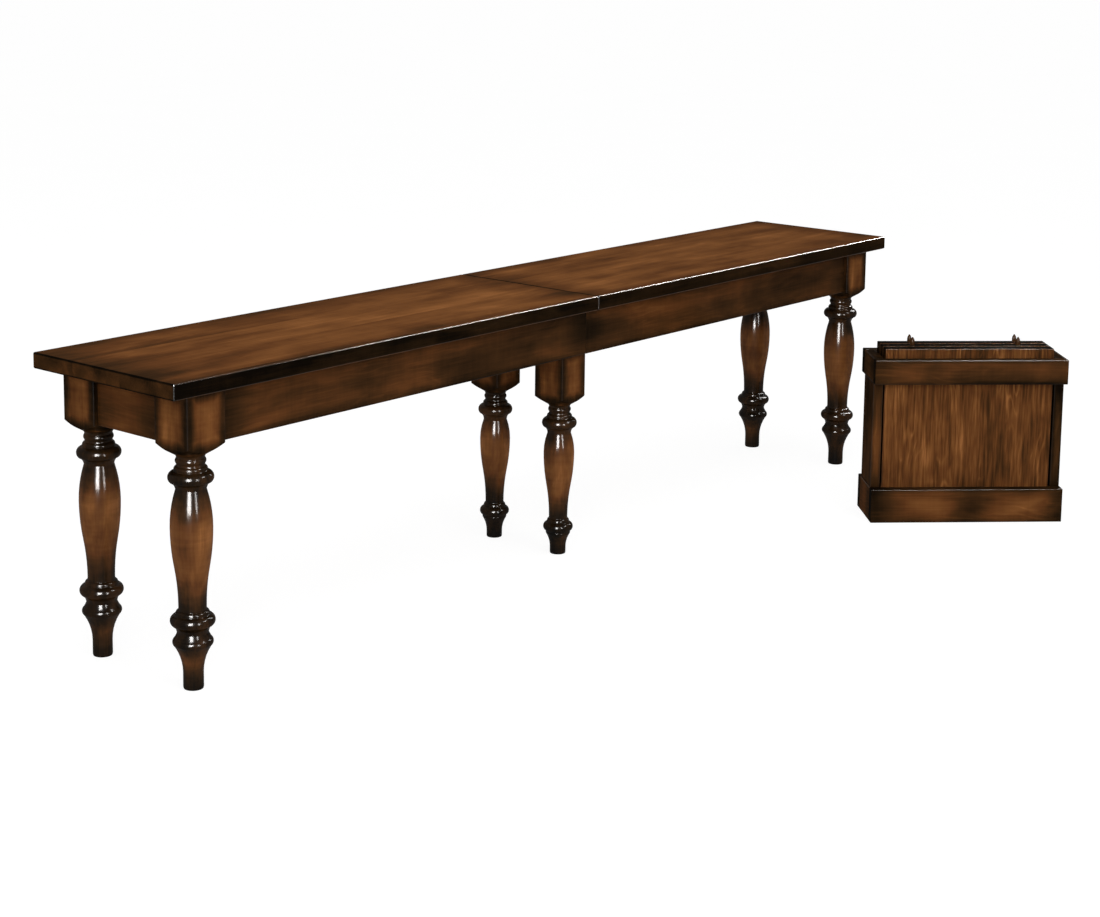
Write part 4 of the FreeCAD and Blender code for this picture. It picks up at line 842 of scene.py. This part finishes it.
def stained_wood(slot, finish):
    """Stained and glazed wood: long streaks, cloudy stain, fibres, thin lines where the wood's
    rings come out, and patches set a level from black glaze to amber, and glaze darkens it
    towards every edge."""
    wood = WOODS[slot]
    recipe = Recipe(bpy.data.materials.new(f"stained_{slot}"))
    grain = recipe.add("Attribute", attribute_name="grain").outputs["Vector"]
    margin = recipe.add("Attribute", attribute_name="margin").outputs["Vector"]
    layer = 0.0
    strip_tone = 0.0
    if wood.strips:
        lanes = recipe.add("SeparateXYZ", {0: grain}).outputs
        place = recipe.calc("MULTIPLY_ADD", lanes[1], 1 / wood.strip_width, STRIP_START)
        strip = recipe.calc("FLOOR", place)
        layer = recipe.calc("MULTIPLY", strip, STRIP_STEP)
        tone = recipe.add("TexWhiteNoise", {"W": strip}, noise_dimensions="1D").outputs[0]
        strip_tone = recipe.calc("SUBTRACT", tone, 0.5)
    streaks = recipe.noise(grain, wood.streak_scale, layer, 5, 0.60, 0.6)
    blotches = recipe.noise(grain, wood.blotch_scale, layer, 3, 0.5, 0.4)
    fibres = recipe.noise(grain, wood.fibre_scale, layer, 2, 0.6)
    curl = recipe.noise(grain, CURL_SCALE, layer, 2, 0.5, 0.5)
    drift = recipe.noise(grain, DRIFT_SCALE, layer, 3, 0.5, 0.2)
    across = recipe.add("SeparateXYZ", {0: grain}).outputs[1]
    ring = recipe.calc("MULTIPLY_ADD", across, wood.line_count,
                       recipe.calc("MULTIPLY", drift, wood.line_drift))
    wave = recipe.calc("SINE", recipe.calc("MULTIPLY", ring, 2 * math.pi))
    crest = recipe.calc("POWER", recipe.calc("MULTIPLY_ADD", wave, 0.5, 0.5), 5.0)
    showing = recipe.smooth(recipe.noise(grain, SHOWING_SCALE, layer, 2), -0.08, 0.16)
    lines = recipe.calc("MULTIPLY", crest, showing)
    tone = recipe.add("Attribute", attribute_name="tone").outputs["Fac"]

    # The middle one of the three shares is how far a point lies from the nearest edge
    shares = recipe.scaled(margin, tuple(1 / width for width in wood.glaze_width))
    along, sideways, through = recipe.add("SeparateXYZ", {0: shares}).outputs
    lesser = recipe.calc("MINIMUM", along, sideways)
    greater = recipe.calc("MAXIMUM", along, sideways)
    inside = recipe.calc("MAXIMUM", lesser, recipe.calc("MINIMUM", greater, through))
    glaze = recipe.fading(inside, 0.0, 1.0)

    level = recipe.mixture(wood.level, (
        (streaks, 2 * wood.streaks),
        (blotches, 2 * wood.blotches),
        (fibres, 2 * wood.fibres),
        (lines, wood.lines),
        (curl, 2 * wood.curl),
        (tone, 1.0),
        (strip_tone, wood.strips),
        (glaze, -wood.glaze),
    ))
    raw = recipe.add("SeparateXYZ", {0: margin}).outputs
    edge_face = recipe.smooth(raw[2], *EDGE_FACE)
    for distance, darkening in ((raw[1], wood.long_edge), (raw[0], wood.end_edge)):
        if darkening:
            face = recipe.fading(distance, 0.0, EDGE_DEPTH)
            shown = recipe.calc("MULTIPLY", edge_face, face)
            level = recipe.mixture(level, ((shown, -darkening),))
    if wood.end_line:
        end_line = recipe.fading(recipe.calc("MAXIMUM", raw[0], raw[2]), *END_LINE)
        level = recipe.mixture(level, ((end_line, -wood.end_line),))
    coat = wood.coat
    if wood.turned_coat:
        turned = recipe.smooth(raw[1], 0.3 * TURNED_MARGIN, 0.9 * TURNED_MARGIN)
        coat = recipe.mixture(coat, ((turned, wood.turned_coat - wood.coat),))
    for first, second, polish in (
        (1, 2, wood.long_arris_coat), (0, 2, wood.end_arris_coat), (0, 1, wood.corner_coat),
    ):
        if polish:
            arris = recipe.fading(recipe.calc("MAXIMUM", raw[first], raw[second]), *ARRIS)
            coat = recipe.mixture(coat, ((arris, polish - wood.coat),))
    colours = (
        finish.black, finish.umber, finish.brown, finish.chestnut, finish.russet, finish.amber,
    )
    return recipe.finish(
        Base_Color=recipe.stops(level, colours),
        Roughness=recipe.mixture(0.55, ((fibres, 0.2),)),
        Specular_IOR_Level=0.0,
        Coat_Weight=coat,
        Coat_Roughness=COAT_ROUGHNESS,
        Normal=recipe.bump(fibres, 0.12, 0.0004),
    )


def sealed_wood(name, factors):
    """Unstained wood of the hidden rails: pale streaks and fibres along the grain."""
    recipe = Recipe(bpy.data.materials.new(name))
    grain = recipe.scaled(recipe.add("TexCoord").outputs["Object"], factors)
    streaks = recipe.noise(grain, (1, 1, 1), 0.0, 4, 0.6, 0.5)
    fibres = recipe.noise(grain, (4, 12, 12), 2.0, 2, 0.6)
    level = recipe.mixture(0.5, ((streaks, 0.9), (fibres, 0.3)))
    return recipe.finish(
        Base_Color=recipe.stops(level, (
            (0.13, 0.072, 0.034), (0.24, 0.145, 0.074), (0.32, 0.210, 0.116), (0.40, 0.278, 0.165),
        )),
        Roughness=recipe.mixture(0.6, ((fibres, 0.2),)),
        Specular_IOR_Level=0.3,
        Normal=recipe.bump(fibres, 0.15, 0.0003),
    )


def zinc_plate(name, tint):
    """Zinc plated steel: faint spangle in colour and roughness."""
    recipe = Recipe(bpy.data.materials.new(name))
    place = recipe.add("TexCoord").outputs["Object"]
    spangle = recipe.noise(place, (220, 220, 220), 0.0, 3, 0.6)
    scratches = recipe.noise(place, (60, 900, 900), 1.0, 2, 0.6)
    level = recipe.mixture(0.5, ((spangle, 0.8), (scratches, 0.3)))
    return recipe.finish(
        Base_Color=recipe.stops(level, (
            tuple(0.62 * channel for channel in tint), tint,
            tuple(min(1.0, 1.25 * channel) for channel in tint),
        )),
        Metallic=1.0,
        Roughness=recipe.mixture(0.36, ((spangle, 0.25),)),
        Normal=recipe.bump(scratches, 0.08, 0.0002),
    )


def natural_nylon(name):
    """Milky moulded nylon with a faint flow pattern."""
    recipe = Recipe(bpy.data.materials.new(name))
    place = recipe.add("TexCoord").outputs["Object"]
    flow = recipe.noise(place, (40, 40, 40), 0.0, 3, 0.5, 0.8)
    return recipe.finish(
        Base_Color=recipe.stops(recipe.mixture(0.5, ((flow, 0.8),)), (
            (0.66, 0.64, 0.58), (0.80, 0.79, 0.74), (0.86, 0.85, 0.82),
        )),
        Roughness=recipe.mixture(0.5, ((flow, 0.2),)),
        Normal=recipe.bump(flow, 0.05, 0.0003),
    )


def finish_named(slot, context):
    """The stained finish of a slot, made when it is first asked for."""
    made = bpy.data.materials.get(f"stained_{slot}")
    return made or stained_wood(slot, context.scene.bench_finish)


def own_grain(number):
    """Moves each piece to its own stretch of the grain, so that no two look alike. Legs count
    from 0, seat boards from 20, aprons from 30, the box's boards from 40, the leaves from 60
    and the pins from 69."""
    return np.array([1.7 * number + 0.31, 0.43 * number + 0.11, 0.67 * number + 0.05])


def make_board(context, node, corners, axes, number, bores=(), name=None, place=None):
    """Puts a board with rounded edges and its patches of stain in the place of a CAD node."""
    shape = context.scene.bench_shape
    slot = SLOTS[node]
    ease = shape.seat_ease if slot == "seat_wood" else shape.board_ease
    skin = block_skin(*corners, ease, shape.lattice_spacing, axes, own_grain(number), bores)
    skin.shaded(PATCHES.get(node, ()))
    if place is not None:
        skin.placed(place)
    make_piece(name or f"{node}_board", skin, finish_named(slot, context), node)


class BENCH_OT_turned_legs(bpy.types.Operator):
    """Turn the four end legs and the two centre legs"""

    bl_idname = "bench.turned_legs"
    bl_label = "Turned Legs"

    def execute(self, context):
        shape = context.scene.bench_shape
        nodes = [(f"{half}_leg_{side}", END_LEG) for half in HALVES for side in SIDES]
        nodes += [(f"centre_leg_{side}", CENTRE_LEG) for side in SIDES]
        for number, (node, kind) in enumerate(nodes):
            low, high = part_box(node)
            centre = (low + high) / 2
            skin = leg_skin(kind, centre, high.z, (high.x - low.x) / 2, shape, own_grain(number))
            skin.shaded(kind.patches(high.z) + PATCHES.get(node, ()))
            make_piece(f"{node}_turned", skin, finish_named("leg_wood", context), node)
        return {"FINISHED"}


class BENCH_OT_seat_boards(bpy.types.Operator):
    """Make the two seat boards that meet at the middle"""

    bl_idname = "bench.seat_boards"
    bl_label = "Seat Boards"

    def execute(self, context):
        shape = context.scene.bench_shape
        for number, half in enumerate(HALVES):
            low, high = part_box(f"{half}_top")
            bores = [
                Bore(0, 1, (high.x, side * shape.pin_spread, (low.z + high.z) / 2),
                     shape.pin_hole_radius, shape.pin_hole_depth)
                for side in (-1, 1) if half == "left"
            ]
            make_board(context, f"{half}_top", (low, high), (0, 1, 2), 20 + number, bores,
                       name=f"{half}_seat_board")
        return {"FINISHED"}


class BENCH_OT_apron_boards(bpy.types.Operator):
    """Make the long and the end aprons, each up to the faces of its legs' blocks"""

    bl_idname = "bench.apron_boards"
    bl_label = "Apron Boards"

    def execute(self, context):
        for number, half in enumerate(HALVES):
            inner_leg = [abs(corner.x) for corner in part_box(f"{half}_leg_front")]
            block_face = min(inner_leg) * (-1 if half == "left" else 1)
            for step, side in enumerate(SIDES):
                low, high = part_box(f"{half}_apron_{side}")
                if half == "left":
                    low.x = block_face
                else:
                    high.x = block_face
                make_board(context, f"{half}_apron_{side}", (low, high), (0, 2, 1),
                           30 + 3 * number + step)
            low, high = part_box(f"{half}_apron_end")
            low.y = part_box(f"{half}_leg_front")[1].y
            high.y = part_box(f"{half}_leg_back")[0].y
            make_board(context, f"{half}_apron_end", (low, high), (1, 2, 0), 32 + 3 * number)
        return {"FINISHED"}


def box_frame():
    """The turn and place of the storage box, in which its boards and leaves are upright."""
    return Matrix.Translation(BOX_FOOT) @ Matrix.Rotation(BOX_TURN, 4, "Z")


def corners_in_box(node):
    """A node's lowest and highest corners in the storage box's own directions."""
    mesh = frame["nodes"][node].data
    points = np.zeros(3 * len(mesh.vertices), np.float32)
    mesh.vertices.foreach_get("co", points)
    inverse = np.array(box_frame().inverted())
    points = points.reshape(-1, 3) @ inverse[:3, :3].T + inverse[:3, 3]
    return points.min(axis=0).round(6), points.max(axis=0).round(6)


class BENCH_OT_storage_box(bpy.types.Operator):
    """Make the boards of the box that the leaves are stored in"""

    bl_idname = "bench.storage_box"
    bl_label = "Storage Box"

    def execute(self, context):
        grains = {"front": (0, 2, 1), "back": (0, 2, 1), "left": (1, 2, 0), "right": (1, 2, 0)}
        boards = [(f"box_{band}_{side}", axes) for band in ("base", "rim")
                  for side, axes in grains.items()]
        boards += [("box_side_left", (2, 0, 1)), ("box_side_right", (2, 0, 1))]
        boards += [("box_floor", (0, 1, 2))]
        for number, (node, axes) in enumerate(boards):
            make_board(context, node, corners_in_box(node), axes, 40 + number,
                       place=box_frame())
        return {"FINISHED"}


class BENCH_OT_leaves(bpy.types.Operator):
    """Make the three extension leaves with the holes for their neighbours' pins"""

    bl_idname = "bench.leaves"
    bl_label = "Leaves"

    def execute(self, context):
        shape = context.scene.bench_shape
        for number, node in enumerate(("front_leaf", "middle_leaf", "back_leaf")):
            low, high = corners_in_box(node)
            middle = (low + high) / 2
            bores = [
                Bore(2, -1, (middle[0] + side * shape.pin_spread, middle[1], low[2]),
                     shape.pin_hole_radius, shape.pin_hole_depth)
                for side in (-1, 1)
            ]
            make_board(context, node, (low, high), (2, 0, 1), 60 + number, bores,
                       place=box_frame())
        return {"FINISHED"}


class BENCH_OT_alignment_pins(bpy.types.Operator):
    """Turn the pointed pins that line up the boards"""

    bl_idname = "bench.alignment_pins"
    bl_label = "Alignment Pins"

    def execute(self, context):
        shape = context.scene.bench_shape
        low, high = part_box("right_seam_pins")
        level = (low.z + high.z) / 2
        seam = joined([
            pin_skin((high.x, side * shape.pin_spread, level), (-1, 0, 0), high.x - low.x, shape,
                     own_grain(70 + side))
            for side in (-1, 1)
        ])
        material = finish_named("pin_wood", context)
        make_piece("right_seam_pins_turned", seam, material, "right_seam_pins")
        for number, node in enumerate(("middle_leaf_pins", "back_leaf_pins")):
            low, high = corners_in_box(node)
            middle = (low + high) / 2
            pins = joined([
                pin_skin((middle[0] + side * shape.pin_spread, middle[1], low[2]), (0, 0, 1),
                         high[2] - low[2], shape, own_grain(74 + 3 * number + side))
                for side in (-1, 1)
            ])
            make_piece(f"{node}_turned", pins.placed(box_frame()), material, node)
        return {"FINISHED"}


class BENCH_OT_hidden_parts(bpy.types.Operator):
    """Give the rails, blocks, gear and fasteners of the CAD frame their finishes"""

    bl_idname = "bench.hidden_parts"
    bl_label = "Slides and Fasteners"

    def execute(self, context):
        lengthwise = sealed_wood("sealed_wood_lengthwise", (2.5, 40, 40))
        crosswise = sealed_wood("sealed_wood_crosswise", (40, 2.5, 40))
        finishes = {
            "inner_wood": lengthwise,
            "slide_steel": zinc_plate("zinc_slides", (0.55, 0.55, 0.56)),
            "fastener_steel": zinc_plate("zinc_fasteners", (0.50, 0.50, 0.50)),
            "gear_nylon": natural_nylon("natural_nylon"),
        }
        for node, piece in frame["nodes"].items():
            if piece.hide_render:
                continue
            material = finishes[SLOTS[node]]
            if node == "centre_bolster" or node.endswith("corner_braces"):
                material = crosswise
            piece.data.materials.clear()
            piece.data.materials.append(material)
        return {"FINISHED"}


@dataclass
class Lamp:
    """A rectangular light: where it stands, its width and height, and its radiance. A soft
    lamp lights the wood's colour; a polish lamp shows only in its gloss."""

    name: str
    place: tuple
    width: float
    height: float
    radiance: float
    polish: bool = False


LAMPS = (
    Lamp("overhead_soft", (-0.6, -1.0, 3.2), 3.0, 2.2, 1.4),
    Lamp("left_soft", (-3.0, -2.4, 1.9), 1.4, 2.0, 3.8),
    Lamp("right_soft", (-0.9, -4.0, 1.9), 1.6, 2.0, 2.4),
    Lamp("left_polish", (-3.10, -1.90, 1.30), 1.1, 2.2, 290, True),
    Lamp("right_polish", (-1.42, -3.91, 1.30), 0.6, 2.2, 140, True),
    Lamp("side_polish", (1.6, -3.2, 3.6), 0.9, 0.9, 170, True),
    Lamp("arris_polish", (2.6, -0.2, 2.20), 0.6, 2.2, 160, True),
)
AIM = Vector((0.0, -0.05, 0.30))


def add_lamp(lamp, strength):
    """A rectangular light turned to the bench. Its power is radiance x pi x area."""
    light = bpy.data.lights.new(lamp.name, "AREA")
    light.shape = "RECTANGLE"
    light.size = lamp.width
    light.size_y = lamp.height
    light.energy = strength * lamp.radiance * math.pi * lamp.width * lamp.height
    piece = bpy.data.objects.new(lamp.name, light)
    piece.location = lamp.place
    piece.rotation_euler = (AIM - Vector(lamp.place)).to_track_quat("-Z", "Y").to_euler()
    piece.visible_camera = False
    piece.visible_diffuse = not lamp.polish
    piece.visible_glossy = lamp.polish
    bpy.context.scene.collection.objects.link(piece)


def shown_directly(recipe):
    """1 on rays from the camera, off gloss or through glass, and 0 on the rest."""
    path = recipe.add("LightPath").outputs
    seen = recipe.calc("MAXIMUM", path["Is Camera Ray"], path["Is Glossy Ray"])
    return recipe.calc("MAXIMUM", seen, path["Is Transmission Ray"])


def pale_floor():
    """A floor that shows white and keeps a faint shadow, and throws its light back up."""
    recipe = Recipe(bpy.data.materials.new("pale_floor"))
    shown = shown_directly(recipe)
    speck = recipe.noise(recipe.add("TexCoord").outputs["Object"], (3, 3, 3))
    tint = recipe.mixture(0.70, ((speck, 0.02), (shown, -0.50)))
    colour = recipe.add("CombineColor", {0: tint, 1: tint, 2: tint}).outputs[0]
    diffuse = recipe.add("BsdfDiffuse", {"Color": colour})
    glow = recipe.add("Emission", {"Strength": recipe.calc("MULTIPLY", shown, 0.90)})
    both = recipe.add("AddShader", {0: diffuse.outputs[0], 1: glow.outputs[0]})
    recipe.add("OutputMaterial", {"Surface": both.outputs[0]})
    return recipe.owner


def white_surround(world, ambient):
    """White where the camera or the gloss looks past the floor, and ambient light elsewhere."""
    recipe = Recipe(world)
    shown = shown_directly(recipe)
    strength = recipe.mixture(ambient, ((shown, 1 - ambient),))
    light = recipe.add("Background", {"Color": (1, 1, 1, 1), "Strength": strength})
    recipe.add("OutputWorld", {"Surface": light.outputs[0]})


class BENCH_OT_studio(bpy.types.Operator):
    """Set up the floor, the lamps, the surround and the camera"""

    bl_idname = "bench.studio"
    bl_label = "Studio"

    def execute(self, context):
        studio = context.scene.bench_studio
        # The floor lies a hair below the feet, so that the two never share a plane
        reach, level = 30.0, -0.0004
        corners = [(-reach, -reach, level), (reach, -reach, level),
                   (reach, reach, level), (-reach, reach, level)]
        mesh = bpy.data.meshes.new("studio_floor")
        mesh.from_pydata(corners, [], [(0, 1, 2, 3)])
        mesh.materials.append(pale_floor())
        floor = bpy.data.objects.new("studio_floor", mesh)
        context.scene.collection.objects.link(floor)
        for lamp in LAMPS:
            add_lamp(lamp, studio.polish_light if lamp.polish else studio.soft_light)
        world = bpy.data.worlds.new("studio_surround")
        context.scene.world = world
        white_surround(world, studio.ambient)
        self.add_camera(context, studio)
        context.scene.view_settings.view_transform = "Standard"
        return {"FINISHED"}

    def add_camera(self, context, studio):
        """A camera whose view turns by yaw from +Y, dips by pitch and rolls about itself."""
        yaw, pitch, roll = studio.camera_yaw, studio.camera_pitch, studio.camera_roll
        ahead = Vector((math.sin(yaw) * math.cos(pitch), math.cos(yaw) * math.cos(pitch),
                        -math.sin(pitch)))
        right = Vector((math.cos(yaw), -math.sin(yaw), 0.0))
        up = right.cross(ahead)
        rolled_right = math.cos(roll) * right + math.sin(roll) * up
        rolled_up = math.cos(roll) * up - math.sin(roll) * right
        camera = bpy.data.cameras.new("studio_camera")
        camera.lens = studio.lens
        camera.sensor_width = 36.0
        camera.shift_y = studio.camera_shift
        camera.clip_end = 200.0
        piece = bpy.data.objects.new("studio_camera", camera)
        turn = Matrix((rolled_right, rolled_up, -ahead)).transposed()
        piece.matrix_world = Matrix.Translation(studio.camera_place) @ turn.to_4x4()
        context.scene.collection.objects.link(piece)
        context.scene.camera = piece


OPERATORS = (
    BENCH_OT_turned_legs,
    BENCH_OT_seat_boards,
    BENCH_OT_apron_boards,
    BENCH_OT_storage_box,
    BENCH_OT_leaves,
    BENCH_OT_alignment_pins,
    BENCH_OT_hidden_parts,
    BENCH_OT_studio,
)
SETTINGS = {"bench_shape": BenchShape, "bench_finish": BenchFinish, "bench_studio": BenchStudio}


class BENCH_PT_panel(bpy.types.Panel):
    """The bench's steps, in the order in which they are made"""

    bl_idname = "BENCH_PT_panel"
    bl_label = "Extension Bench"
    bl_space_type = "VIEW_3D"
    bl_region_type = "UI"
    bl_category = "Bench"

    def draw(self, context):
        layout = self.layout
        for operator in OPERATORS:
            layout.operator(operator.bl_idname)
        for name, group in SETTINGS.items():
            box = layout.box()
            for setting in group.__annotations__:
                box.prop(getattr(context.scene, name), setting)


def register():
    for group in (*SETTINGS.values(), *OPERATORS, BENCH_PT_panel):
        bpy.utils.register_class(group)
    for name, group in SETTINGS.items():
        setattr(bpy.types.Scene, name, PointerProperty(type=group))


def unregister():
    for name in SETTINGS:
        delattr(bpy.types.Scene, name)
    for group in (BENCH_PT_panel, *reversed(OPERATORS), *reversed(SETTINGS.values())):
        bpy.utils.unregister_class(group)


def main():
    register()
    bpy.ops.bench.turned_legs()
    bpy.ops.bench.seat_boards()
    bpy.ops.bench.apron_boards()
    bpy.ops.bench.storage_box()
    bpy.ops.bench.leaves()
    bpy.ops.bench.alignment_pins()
    bpy.ops.bench.hidden_parts()
    bpy.ops.bench.studio()


if __name__ == "__main__":
    main()
